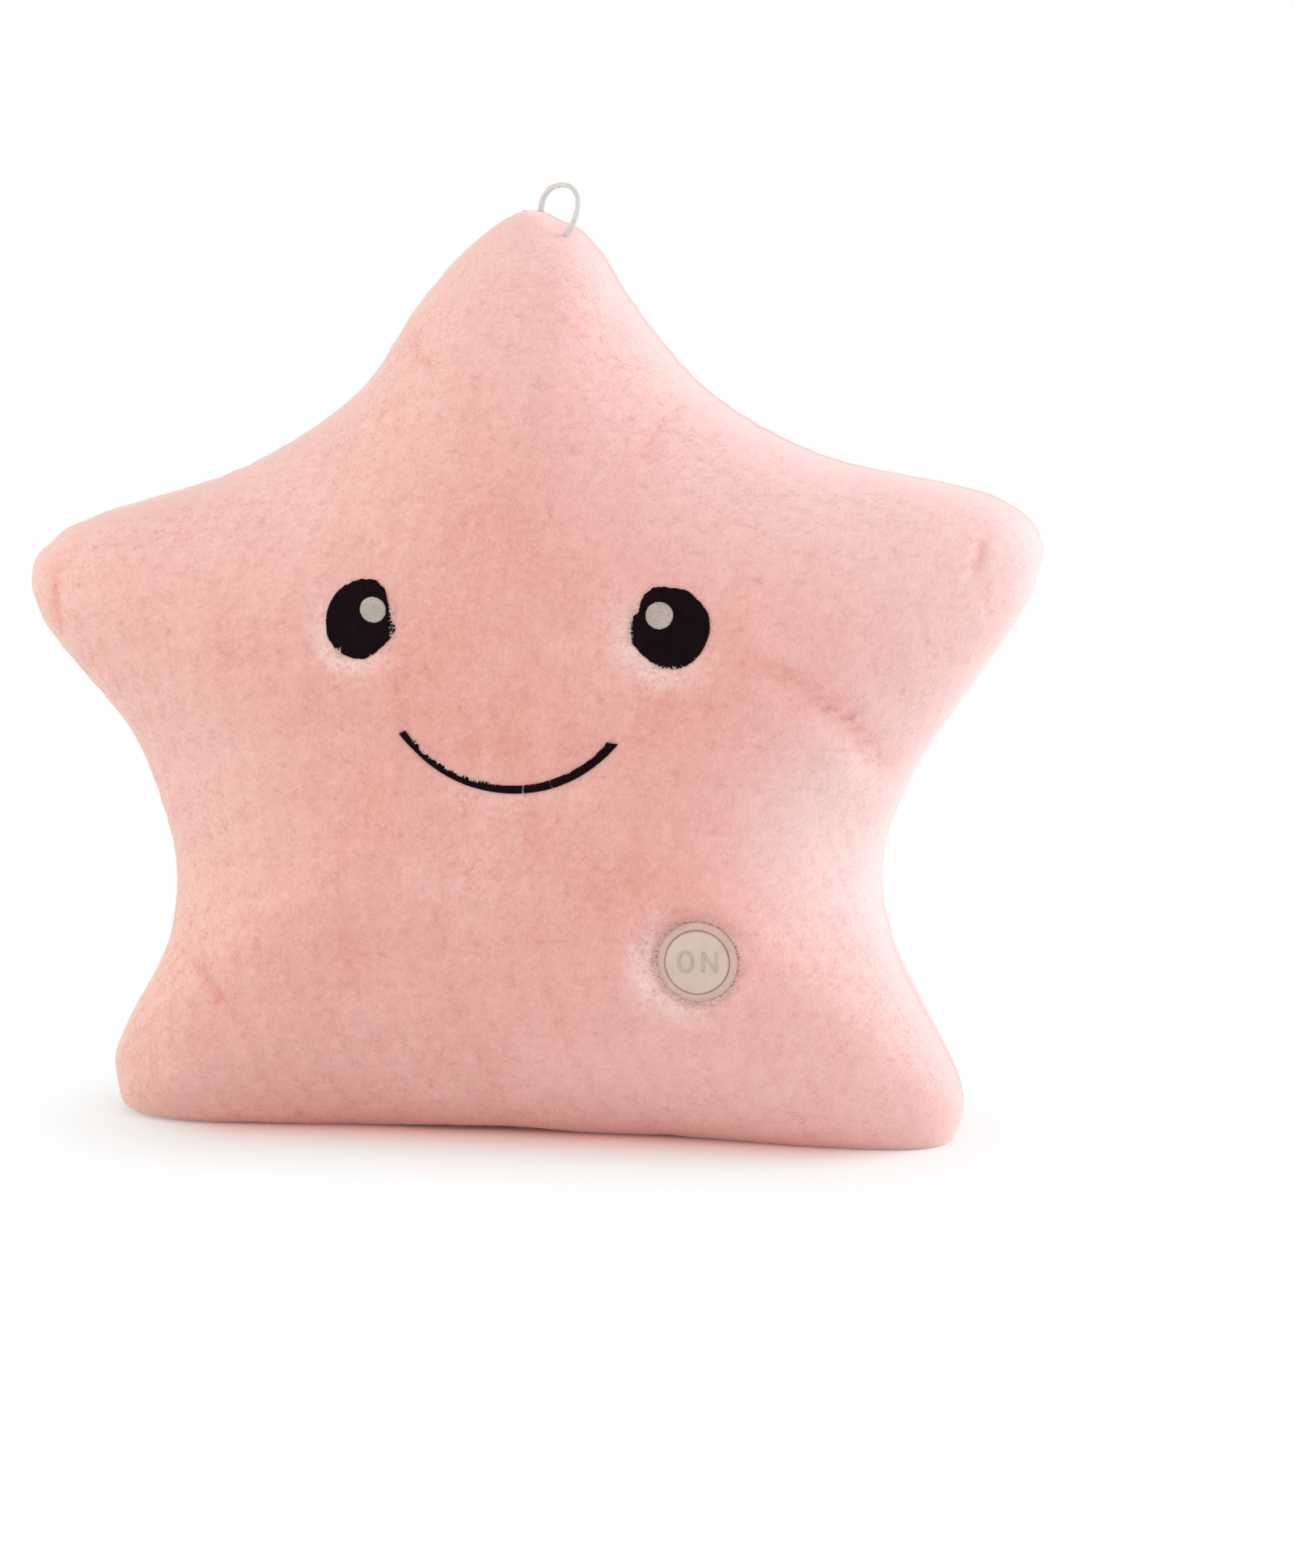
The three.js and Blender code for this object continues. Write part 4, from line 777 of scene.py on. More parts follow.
@dataclass(frozen=True)
class StarForm:
    """The star's outline and its crowned sides, as the CAD has them.

    Points and valleys are shares of the half width and the height; a point has a radius too. Touches are small
    changes of the reach: their bearing and half width in degrees and their height.
    """

    width: float = 364 * MM
    height: float = 330 * MM
    middle_up: float = 151.8 * MM
    touches: tuple = ((82, 4.5, 3.6 * MM), (-139, 4.5, -3 * MM), (-177, 8, -2.4 * MM))
    front_crown: float = 53.6 * MM
    back_crown: float = 56.1 * MM
    back_flat: float = 51.6 * MM
    flat_ease: float = 1.5 * MM
    end_turn: float = radians(55)
    fullness: float = 2.2
    roundness: float = 2.3
    points: tuple = (
        (0.0055, 0.936, 20 * MM), (0.901, 0.639, 20 * MM), (0.764, 0.036, 20 * MM), (-0.758, 0.043, 21 * MM),
        (-0.898, 0.594, 20 * MM),
    )
    valleys: tuple = (
        ((0.198, 0.905), (0.356, 0.809), (0.571, 0.744)),
        ((0.764, 0.403), (0.706, 0.306), (0.731, 0.212)),
        ((0.302, -0.009), (-0.275, -0.009)),
        ((-0.736, 0.206), (-0.725, 0.303), (-0.802, 0.418)),
        ((-0.56, 0.724), (-0.326, 0.809), (-0.204, 0.903)),
    )

    def knots(self) -> Array:
        """The outline's knots: three round each point's end, then its valley."""
        half = np.array([self.width / 2, self.height])
        out = []
        for (across, up, radius), valley in zip(self.points, self.valleys):
            end = np.array([across, up]) * half
            heading = math.atan2(end[1] - self.middle_up, end[0])
            turns = heading + np.array([self.end_turn, 0, -self.end_turn])
            out += [end + radius * np.stack([np.cos(turns), np.sin(turns)], -1), np.array(valley) * half]
        return np.concatenate(out)

    def outline(self, steps: int) -> Array:
        """The closed outline across and up, clockwise from the top, scaled to the star's width and height."""
        knots = self.knots()
        curve = spline(np.concatenate([knots[-1:], knots, knots[:2]]), steps)
        low, high = curve.min(0), curve.max(0)
        curve[:, 0] = (curve[:, 0] - (low[0] + high[0]) / 2) * self.width / (high[0] - low[0])
        curve[:, 1] *= self.height / high[1]
        return curve

    def reach(self, angle: Array) -> Array:
        """Distance from the middle to the outline at each angle."""
        curve = self.outline(24) - [0, self.middle_up]
        bearing = np.arctan2(curve[:, 1], curve[:, 0])
        order = np.argsort(bearing)
        plain = np.interp(angle, bearing[order], np.linalg.norm(curve, axis=1)[order], period=tau)
        for middle, width, height in self.touches:
            off = (angle - radians(middle) + pi) % tau - pi
            plain = plain + height * bell(off, 0, radians(width))
        return plain

    def share(self, x: Array, z: Array) -> Array:
        """How far places lie from the middle towards the seam, from 0 to 1."""
        up = z - self.middle_up
        return np.hypot(x, up) / self.reach(np.arctan2(up, x))

    def depth(self, share: Array, side: int) -> Array:
        """Depth from the seam plane, all above zero: the crown times a root of one less a power of the share.

        At the back it levels out softly where the zip is set in.

        Args:
            share: How far places lie from the middle towards the seam.
            side: -1 for the front and 1 for the back.

        Returns:
            The depths.
        """
        crown = self.front_crown if side < 0 else self.back_crown
        depth = crown * np.maximum(0, 1 - share ** self.fullness) ** (1 / self.roundness)
        if side < 0:
            return depth
        soft = self.flat_ease
        level = -soft * np.logaddexp(-depth / soft, -self.back_flat / soft)
        return np.maximum(level + soft * np.log1p(np.exp(-self.back_flat / soft)), 0)


@dataclass(frozen=True)
class Fold:
    """A soft crease in the plush along a line of places across and up, given in millimetres."""

    line: tuple
    depth: float
    width: float
    lip: float = 0.3
    full_shade: float = 1.8 * MM

    def nearest(self, x: Array, z: Array) -> tuple[Array, Array, Array]:
        """Where places lie from the line.

        Args:
            x: Places across.
            z: Places up.

        Returns:
            The distances, the side (1 on the left) and the fade towards the line's ends.
        """
        line = np.array(self.line) * MM
        lengths = np.linalg.norm(np.diff(line, axis=0), axis=1)
        before = np.concatenate([[0], np.cumsum(lengths)])
        best, side, along = np.full(np.shape(x), np.inf), np.zeros(np.shape(x)), np.zeros(np.shape(x))
        for (x0, z0), step, length, start in zip(line, np.diff(line, axis=0), lengths, before):
            t = np.clip(((x - x0) * step[0] + (z - z0) * step[1]) / length ** 2, 0, 1)
            dx, dz = x - x0 - t * step[0], z - z0 - t * step[1]
            distance = np.hypot(dx, dz)
            nearer = distance < best
            best = np.where(nearer, distance, best)
            side = np.where(nearer, np.sign(step[0] * dz - step[1] * dx), side)
            along = np.where(nearer, start + t * length, along)
        return best, side, np.sin(pi * np.clip(along / before[-1], 0.02, 0.98)) ** 0.6

    def shade(self, x: Array, z: Array) -> Array:
        """The share of painted shade at places in the crease: a bell over the distance, whole from a depth of 1.8 mm
        on.
        """
        best, _, fade = self.nearest(x, z)
        return min(1, self.depth / self.full_shade) * fade * bell(best, 0, 0.75 * self.width)

    def relief(self, x: Array, z: Array) -> Array:
        """Height of the crease: a bell-shaped groove with a lower swelling on its left side, both with the fade."""
        best, side, fade = self.nearest(x, z)
        lip = self.lip * bell(best * side, 2.2 * self.width, 1.6 * self.width)
        return self.depth * fade * (lip - bell(best, 0, self.width))


@dataclass(frozen=True)
class FaceLayout:
    """Where the embroidery and the push button are on the front; an oval is its middle and half sizes."""

    left_eye: tuple = (-50.8 * MM, 191 * MM, 12.2 * MM, 13.4 * MM)
    right_eye: tuple = (57.6 * MM, 190.6 * MM, 13.7 * MM, 14.25 * MM)
    left_glint: tuple = (-45.9 * MM, 194.7 * MM, 4.6 * MM, 4.25 * MM)
    right_glint: tuple = (53.9 * MM, 194.6 * MM, 4.6 * MM, 4.5 * MM)
    smile_centre: tuple = (2.3 * MM, 180.3 * MM)
    smile_radius: float = 46.8 * MM
    smile_low: float = radians(-53.6)
    smile_high: float = radians(50)
    smile_width: float = 2.6 * MM
    button: tuple = (67 * MM, 73 * MM)
    button_room: float = 14.8 * MM

    def oval(self, eye: tuple, x: Array, z: Array) -> Array:
        """Distance from an oval's middle as a share of its own radius."""
        return np.hypot((x - eye[0]) / eye[2], (z - eye[1]) / eye[3])

    def off_button(self, x: Array, z: Array) -> Array:
        """Distance from the push button's middle."""
        return np.hypot(x - self.button[0], z - self.button[1])

    def smile_gap(self, x: Array, z: Array) -> Array:
        """Distance from the smile's centre line."""
        dx, dz = x - self.smile_centre[0], z - self.smile_centre[1]
        turn = np.clip(np.arctan2(dx, -dz), self.smile_low, self.smile_high)
        return np.hypot(dx - self.smile_radius * np.sin(turn), dz + self.smile_radius * np.cos(turn))

    def smile_place(self, turn: Array, radius: Array) -> Pair:
        """Places across and up at angles and distances from the smile's centre."""
        return self.smile_centre[0] + radius * np.sin(turn), self.smile_centre[1] - radius * np.cos(turn)


@dataclass
class ReliefMap:
    """A height over places across and up, kept on an even grid of nodes."""

    heights: Array
    low: Array
    cell: float

    @classmethod
    def gathered(cls, x: Array, z: Array, values: Array, cell: float, rounds: int = 3) -> "ReliefMap":
        """A map from scattered values.

        A node's height is the sum of the values near it over their number, both spread to its neighbours a few
        times with weights of 1, 2 and 1.

        Args:
            x: Places across.
            z: Places up.
            values: The value at each place.
            cell: Distance between nodes.
            rounds: How many times the sums are spread.

        Returns:
            The map.
        """
        low = np.array([x.min(), z.min()]) - 4 * cell
        size = np.ceil((np.array([x.max(), z.max()]) + 4 * cell - low) / cell).astype(int) + 1
        sums = np.zeros((2, *size))
        node = (np.rint((x - low[0]) / cell).astype(int), np.rint((z - low[1]) / cell).astype(int))
        np.add.at(sums[0], node, values)
        np.add.at(sums[1], node, 1)
        for _ in range(rounds):
            for axis in (1, 2):
                sums = (np.roll(sums, 1, axis) + 2 * sums + np.roll(sums, -1, axis)) / 4
        return cls(sums[0] / np.maximum(sums[1], 1e-4), low, cell)

    def at(self, x: Array, z: Array) -> Array:
        """Heights at places, blended between the four nodes around each."""
        u = np.clip((x - self.low[0]) / self.cell, 0, self.heights.shape[0] - 1.001)
        v = np.clip((z - self.low[1]) / self.cell, 0, self.heights.shape[1] - 1.001)
        i, j = u.astype(int), v.astype(int)
        return between(self.heights, i, j, u - i, v - j)


def between(grid: Array, row: Array, column: Array, u: Array, v: Array) -> Array:
    """A grid's value inside cells, at the shares u along rows and v along columns."""
    near = grid[row, column] * (1 - v) + grid[row, column + 1] * v
    far = grid[row + 1, column] * (1 - v) + grid[row + 1, column + 1] * v
    return near * (1 - u) + far * u


@dataclass
class PlushForm:
    """The stuffed star's surfaces: crown, lumps of filling, creases, and dips round what is sewn on."""

    seat: float
    star: StarForm = field(default_factory=StarForm)
    face: FaceLayout = field(default_factory=FaceLayout)
    lump: float = 0.55 * MM
    pucker: float = 0.45 * MM
    cloth: dict[int, ReliefMap] = field(default_factory=dict)
    folds: tuple = (
        Fold(((-123.5, 67), (-113.7, 63.3), (-106.9, 55.5), (-101.1, 47.4), (-95.8, 40)), 1.4 * MM, 3.3 * MM, 0.6),
        Fold(((-166, 207.5), (-167, 202), (-167.2, 196), (-166.4, 189), (-165.3, 180.5)), 1.6 * MM, 3 * MM, 0.4),
        Fold((
            (132.5, 136), (129.5, 142), (125, 149), (120, 155), (114.5, 161), (108.5, 166.5), (101, 172), (93, 177),
            (84, 179.5),
        ), 1.5 * MM, 5 * MM, 1),
        Fold(((162.5, 221), (162, 215), (160, 208)), 1.2 * MM, 2 * MM, 0.4),
        Fold(((-40, 292), (-34, 282), (-24, 274)), 0.7 * MM, 3 * MM),
        Fold(((58, 264), (50, 255), (46, 244)), 0.7 * MM, 3 * MM),
    )

    def lumps(self, x: Array, z: Array, seed: int) -> Array:
        """Soft unevenness of the filling: a sum of 14 seeded waves, longer ones higher."""
        random = np.random.default_rng(seed)
        total = np.zeros(np.shape(x))
        for _ in range(14):
            length, heading, phase = random.uniform(28, 95) * MM, *random.uniform(0, tau, 2)
            travel = (x * math.cos(heading) + z * math.sin(heading)) * tau / length
            total += np.sin(travel + phase) * length / (60 * MM)
        return total * self.lump / math.sqrt(14)

    def puckers(self, angle: Array, share: Array) -> Array:
        """Small gathers along the seam that die out over about 10 mm, the same on both sides."""
        random = np.random.default_rng(5)
        total = sum(np.sin(angle * random.integers(50, 130) + random.uniform(0, tau)) for _ in range(6))
        return self.pucker * total / 6 * np.exp(-(1 - share) / 0.055)

    def relief(self, x: Array, z: Array, side: int) -> Array:
        """Height of a side over its plain crown, outwards: dips round the sewn face, and none along the zip."""
        total = self.lumps(x, z, 7 if side < 0 else 19)
        if side in self.cloth:
            total = total + self.cloth[side].at(x, z)
        if side > 0:
            return total * (1 - bell(x, 0, 14 * MM))
        for eye in (self.face.left_eye, self.face.right_eye):
            total = total - 0.9 * MM * bell(self.face.oval(eye, x, z), 0, 1.35, 4)
        total = total - 0.7 * MM * bell(self.face.smile_gap(x, z), 0, 4 * MM)
        return total + sum(fold.relief(x, z) for fold in self.folds)

    def height(self, x: Array, z: Array, side: int) -> Array:
        """How far a side stands out from the seam plane at places across and up."""
        return self.star.depth(self.star.share(x, z), side) + self.relief(x, z, side)

    def button_well(self, x: Array, z: Array, height: Array) -> Array:
        """The front's height drawn in round the push button: flat in the bezel's room, then a step to a low rim.

        Args:
            x: Places across.
            z: Places up.
            height: The front's height without the button.

        Returns:
            The heights with the well.
        """
        out = self.face.off_button(x, z) - self.face.button_room
        rise = ramp(out, 0, 6.5 * MM)
        foot = self.seat + 1.1 * MM * ramp(out, -0.3 * MM, 0.3 * MM)
        return foot + (height + 0.7 * MM * bell(out, 8.2 * MM, 5 * MM) - foot) * rise * rise * (3 - 2 * rise)

    def painted_rim_light(self, x: Array, z: Array) -> Array:
        """Painted rim light: how much paler the pile is painted towards the seam, more on the star's left (seen on
        the right) where the side lamp falls and less low down, with a painted highlight at the right waist.
        """
        share = self.star.share(x, z)
        # More painted rim light on the viewer's right, where the side lamp falls.
        side = 0.62 + 0.38 * ramp(x, -20 * MM, 100 * MM)
        rim_light = 0.8 * ramp(share, 0.32, 0.92) * side * (0.6 + 0.4 * ramp(z, 0, 110 * MM))
        # A painted highlight on the lit belly beside the right arm's crease.
        lit_waist = 0.42 * spot(x, z, (117 * MM, 118 * MM), (24 * MM, 32 * MM))
        return np.clip(rim_light + 0.12 * ramp(share, 0.94, 0.99) + lit_waist, 0, 1)

    def matted(self, x: Array, z: Array) -> Array:
        """Share of pile that is pressed pale: round the eyes, under the smile, on the chin and beside the button."""
        face = self.face
        below = ramp(z, face.smile_centre[1] - 36 * MM, face.smile_centre[1] - 52 * MM)
        total = 0.3 * below * bell(face.smile_gap(x, z), 0, 9 * MM)
        total += 0.2 * spot(x, z, (-5 * MM, 101 * MM), (30 * MM, 16 * MM))
        for eye in (face.left_eye, face.right_eye):
            ring = face.oval(eye, x, z)
            turned = (-0.6 * (x - eye[0]) / eye[2] - 0.8 * (z - eye[1]) / eye[3]) / np.maximum(ring, 1e-6)
            total += np.clip(0.15 + 0.5 * turned, 0, 1) * bell(ring, 1.15, 0.4)
        out = face.off_button(x, z)
        aside = -0.9 * (x - face.button[0]) - 0.4 * (z - face.button[1])
        left = np.clip(aside / np.maximum(out, 1e-6), 0, 1)
        total += (0.05 + 0.95 * left) * bell(out, 17.5 * MM, 6.5 * MM)
        return np.clip(total, 0, 1)


def ring_shares(rings: int) -> Array:
    """Shares of rings from the middle to the seam, closer together towards the seam."""
    return np.sin(np.linspace(0, pi / 2, rings + 1))[1:]


# Sub-assemblies


def dressed(
    name: str, source: Faces | Mesh, finish: Finish, node: str = "", body: str = "pillow",
) -> Piece:
    """A new piece that rides on a body.

    Args:
        name: The piece's name.
        source: Its surfaces, which are turned outwards, or its finished mesh.
        finish: Its finish.
        node: The CAD node that it stands for, if any.
        body: The CAD body that it moves with.

    Returns:
        The object.
    """
    mesh = outward(source.mesh(name)) if isinstance(source, Faces) else source
    piece = placed(name, mesh)
    mesh.materials.clear()
    mesh.materials.append(material(finish))
    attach(piece, body)
    if node:
        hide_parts(node)
    log.info("%s: %d faces on %s", name, len(mesh.polygons), body)
    return piece


def softened(name: str, node: str, body: str, width: float) -> None:
    """A metal part of the zip: its solid with edges rounded over a width."""
    piece = dressed(name, merged_copy(node, 0.03), Finish.ZIP_METAL, node, body)
    modify(piece, "BEVEL", width=width, segments=3, limit_method="ANGLE", angle_limit=radians(35))
    piece.data.shade_smooth()
    modify(piece, "WEIGHTED_NORMAL", keep_sharp=True)


@dataclass
class ClothPass:
    """A cloth simulation of the stuffed star, kept as a relief for both sides.

    The blank is a closed star a little slimmer than the finished one. Air pressure fills it out between
    what is held: the seam, the embroidery, the button, the zip and the foot.
    """

    form: PlushForm
    rings: int = 40
    bearings: int = 180
    voxel: float = 5.5 * MM
    slimmer: float = 0.975
    pressure: float = 4.0
    cap: float = 6 * MM
    last_frame: int = 20
    cell: float = 6 * MM
    kept: float = 0.9

    def blank(self) -> Piece:
        """The closed star before it is filled: both crowned sides, joined at the seam."""
        star = self.form.star
        angle = np.linspace(-pi, pi, self.bearings, endpoint=False)
        share = ring_shares(self.rings)[:, None] + 0 * angle
        reach = share * star.reach(angle)
        x, z = reach * np.cos(angle), np.maximum(star.middle_up + reach * np.sin(angle), 0)
        near, far = (np.stack([x, side * self.slimmer * star.depth(share, side), z], -1) for side in (-1, 1))
        ends = [[0, y * self.slimmer, star.middle_up] for y in (-star.front_crown, star.back_flat)]
        faces = Faces()
        shells(faces, np.concatenate([near, far[:-1][::-1]])[None], ends)
        piece = placed("cloth_blank", outward(faces.mesh("cloth_blank")))
        modify(piece, "REMESH", mode="VOXEL", voxel_size=self.voxel)
        return piece

    def held(self, points: Array) -> Array:
        """Whether each place is held fast."""
        face = self.form.face
        x, y, z = points.T
        sewn = (face.oval(face.left_eye, x, z) < 1.1) | (face.oval(face.right_eye, x, z) < 1.1)
        sewn |= (face.smile_gap(x, z) < 3.2 * MM) | (face.off_button(x, z) < 17 * MM)
        zip_line = (np.abs(x) < 8 * MM) & (y >= 0)
        return ((y < 0) & sewn) | zip_line | (np.abs(y) < 4 * MM) | (z < 2 * MM)

    def simulate(self, piece: Piece, held: Array) -> Array:
        """The corners' places after the pressure has filled the blank."""
        group = piece.vertex_groups.new(name="held")
        group.add(np.nonzero(held)[0].tolist(), 1, "REPLACE")
        cloth = piece.modifiers.new("cloth", "CLOTH")
        settings = {
            "quality": 5, "mass": 0.15, "tension_stiffness": 4, "compression_stiffness": 4, "shear_stiffness": 2,
            "bending_stiffness": 0.1, "use_pressure": True, "uniform_pressure_force": self.pressure,
            "vertex_group_mass": "held",
        }
        for key, value in settings.items():
            setattr(cloth.settings, key, value)
        cloth.settings.effector_weights.gravity = 0
        cloth.collision_settings.use_collision = False
        cloth.point_cache.frame_start, cloth.point_cache.frame_end = 1, self.last_frame
        for number in range(1, self.last_frame + 1):
            scene.frame_set(number)
        shaped = piece.evaluated_get(bpy.context.evaluated_depsgraph_get())
        after, _ = vertex_arrays(shaped.to_mesh())
        shaped.to_mesh_clear()
        piece.modifiers.clear()
        scene.frame_set(1)
        return after

    def run(self) -> None:
        piece = self.blank()
        before, normal = vertex_arrays(piece.data)
        held = self.held(before)
        move = ((self.simulate(piece, held) - before) * normal).sum(1).clip(-self.cap, self.cap)
        mean = move[~held].mean()
        log.info("cloth: %d points, mean move %.1f mm, most %.1f mm", len(move), mean / MM, move.max() / MM)
        relief = (move - 0.75 * mean) * self.kept
        for side in (-1, 1):
            there = before[:, 1] * side > 1 * MM
            self.form.cloth[side] = ReliefMap.gathered(before[there, 0], before[there, 2], relief[there], self.cell)
        bpy.data.objects.remove(piece)


@dataclass
class PlushSkins:
    """The front skin and the two halves of the back skin, with their pile."""

    form: PlushForm
    rings: int = 112
    round_steps: int = 12
    skin: float = 1.6 * MM
    seam: float = 0.004 * MM
    floor_ease: float = 0.8 * MM
    under_lift: float = 1.2 * MM
    hole: float = 13.3 * MM
    slot_half: float = 4.6 * MM
    slot_low: float = 95 * MM
    slot_high: float = 200.5 * MM
    pile_length: float = 2.0 * MM
    pile_width: float = 0.24 * MM
    brush: tuple = (-0.3, 0, -0.8)
    front_blades: int = 190000
    back_blades: int = 90000

    def angles(self) -> Array:
        """Bearings of the outline's points from the middle, anticlockwise."""
        curve = self.form.star.outline(self.round_steps) - [0, self.form.star.middle_up]
        return np.sort(np.arctan2(curve[:, 1], curve[:, 0]))

    def settle(self, points: Array, lift: float = 0.0) -> Array:
        """Presses what lies below the floor flat on it, or on a level a little above, keeping a faint roundness."""
        points = points.copy()
        x, z = points[..., 0], points[..., 2]
        gap = 1.9 * MM * bell(x, -14 * MM, 30 * MM, 4) + 1.4 * MM * bell(x, 51 * MM, 4 * MM)
        gap = gap + 0.8 * MM * bell(x, -100 * MM, 16 * MM) + 2.4 * MM * ramp(x, -105 * MM, -150 * MM) ** 1.5
        soft = self.floor_ease
        points[..., 2] = np.maximum(gap + soft * np.logaddexp(0, (z - gap) / soft) - soft * math.log(2), lift)
        return points

    def crown(self, angle: Array, side: int) -> Pair:
        """A crowned side as a grid.

        A point is the middle plus a share of the outline's reach, at the crown's depth and moved along the normal
        by the relief.

        Args:
            angle: Bearings of the columns.
            side: -1 for the front and 1 for the back.

        Returns:
            The places before settling, and the unit normals, outwards.
        """
        star = self.form.star
        share = ring_shares(self.rings)[:, None] + 0 * angle
        reach = share * star.reach(angle)
        x, z = reach * np.cos(angle), star.middle_up + reach * np.sin(angle)
        points = np.stack([x, side * star.depth(share, side), z], -1)
        normal = grid_normals(points)
        normal *= np.sign((normal[..., 1] * side).sum())
        relief = self.form.relief(x, z, side) * ramp(share, 1, 0.98) + self.form.puckers(angle[None], share)
        points = points + normal * relief[..., None]
        points[..., 1] = side * np.maximum(side * points[..., 1], self.seam)
        return points, normal

    def skin_piece(self, name: str, faces: Faces, node: str) -> Piece:
        """A skin with its marks."""
        piece = dressed(name, faces, Finish.PLUSH, node)
        self.mark(piece.data)
        return piece

    def front(self) -> Pair:
        """The front skin, with its well and hole for the push button; hands over its grid and normals."""
        star = self.form.star
        points, normal = self.crown(self.angles(), -1)
        points[..., 1] = -self.form.button_well(points[..., 0], points[..., 2], -points[..., 1])
        normal = grid_normals(points)
        normal *= -np.sign(normal[..., 1].sum())
        top = -self.form.height(np.zeros(1), np.full(1, star.middle_up), -1)[0]
        away = ramp(self.form.face.off_button(points[..., 0], points[..., 2]), 24 * MM, 32 * MM)[..., None]
        inner = points - (normal * away + FRONT * (1 - away)) * self.skin
        lip = points[-3:-2] * [1, 0, 1] + [0, -self.seam, 0]
        rows = [self.settle(points), self.settle(lip, 0.3 * MM), self.settle(inner[-5:0:-4], self.under_lift)]
        faces = Faces()
        shells(faces, np.concatenate(rows)[None], [[0, top + y, star.middle_up] for y in (0, self.skin)])
        self.pierce(self.skin_piece("front_skin", faces, "front_panel"))
        return points, normal

    def mark(self, mesh: Mesh) -> None:
        """Writes at each corner how matted the pile is, its painted rim light and its painted shade in the creases.
        """
        x, y, z = vertex_arrays(mesh)[0].T
        front = y < -5 * MM
        # Painted shade: how deep each front corner lies in a crease.
        crease = sum(fold.shade(x, z) for fold in self.form.folds) * front
        values = {"matted": self.form.matted(x, z) * front, "painted_rim_light": self.form.painted_rim_light(x, z), "crease": crease}
        for name, value in values.items():
            mesh.attributes.new(name, "FLOAT", "POINT").data.foreach_set("value", value.astype(np.float32))

    def pierce(self, piece: Piece) -> None:
        """Cuts the hole for the bezel's neck through the front skin."""
        near, far = -70 * MM, -20 * MM
        faces = Faces()
        lathe(faces, np.array([[0, near], [self.hole, near], [self.hole, far], [0, far]]), self.form.face.button, 64)
        cutter = placed("neck_hole", outward(faces.mesh("neck_hole")))
        modify(piece, "BOOLEAN", operation="DIFFERENCE", solver="EXACT", object=cutter)
        bpy.data.objects.remove(cutter)

    def half_angles(self, side: int) -> Array:
        """Bearings of one half of the back, with two close ones at both ends of the centre seam."""
        turned = self.angles()
        start = -pi / 2 if side > 0 else pi / 2
        turned = np.sort(np.where(turned < start, turned + tau, turned))
        low, high = start, start + pi
        inside = turned[(turned > low + 0.004) & (turned < high - 0.004)]
        return np.concatenate([[low + 1e-6, low + 0.006], inside, [high - 0.006, high - 1e-6]])

    def back(self, side: int, name: str) -> Pair:
        """One half of the back skin, from the zip to the outline.

        Its grid is a half disc whose straight edge follows the centre seam and opens into the slot for the zip.

        Args:
            side: -1 for the left and 1 for the right half.
            name: The half's name.

        Returns:
            Its grid and normals.
        """
        points, normal = self.crown(self.half_angles(side), 1)
        points = self.open_slot(points, side)
        inner = points - normal * self.skin
        inner[-1] = points[-4] - normal[-4] * self.skin
        inner[-1, :, 1] = self.seam + self.skin
        middle = self.open_slot(np.array([[side * 1e-6, points[0, :, 1].max(), self.form.star.middle_up]]), side)
        rows, columns, _ = points.shape
        row, step = np.arange(columns), np.arange(rows) * columns
        faces = Faces()
        outer = faces.add(self.settle(points), grid_faces(rows, columns, False))
        under = faces.add(self.settle(inner, self.under_lift), grid_faces(rows, columns, False, True))
        top, low = (faces.add(middle + [0, y, 0]) for y in (0, -self.skin))
        faces.triangles.append(np.stack([np.full(columns - 1, top), outer + row[1:], outer + row[:-1]], -1))
        faces.triangles.append(np.stack([np.full(columns - 1, low), under + row[:-1], under + row[1:]], -1))
        edge = np.concatenate([step, (rows - 1) * columns + row[1:], (step + columns - 1)[::-1][1:]])
        loop, below = (np.concatenate([[pole], start + edge]) for pole, start in ((top, outer), (low, under)))
        faces.quads.append(np.stack([loop, np.roll(loop, -1), np.roll(below, -1), below], -1))
        self.skin_piece(f"back_skin_{name}", faces, f"back_panel_{name}")
        return points, normal

    def open_slot(self, points: Array, side: int) -> Array:
        """Moves places of the back away from the centre seam where the zip is, less the further out they lie."""
        x, y, z = np.moveaxis(points, -1, 0)
        ease, width = 4.5 * MM, 45 * MM
        low, high = self.slot_low, self.slot_high
        rise = ramp(z, low - ease, low + ease) * ramp(z, high + ease, high - ease)
        half = self.seam + (self.slot_half - self.seam) * np.sqrt(rise * (2 - rise))
        off = np.abs(x)
        moved = np.where(off < width, half + off * (1 - half / width), off)
        roll = 0.9 * MM * bell(off, 0, 1.6 * MM)
        return np.stack([side * moved, np.maximum(y - roll, np.minimum(y, self.seam)), z], -1)

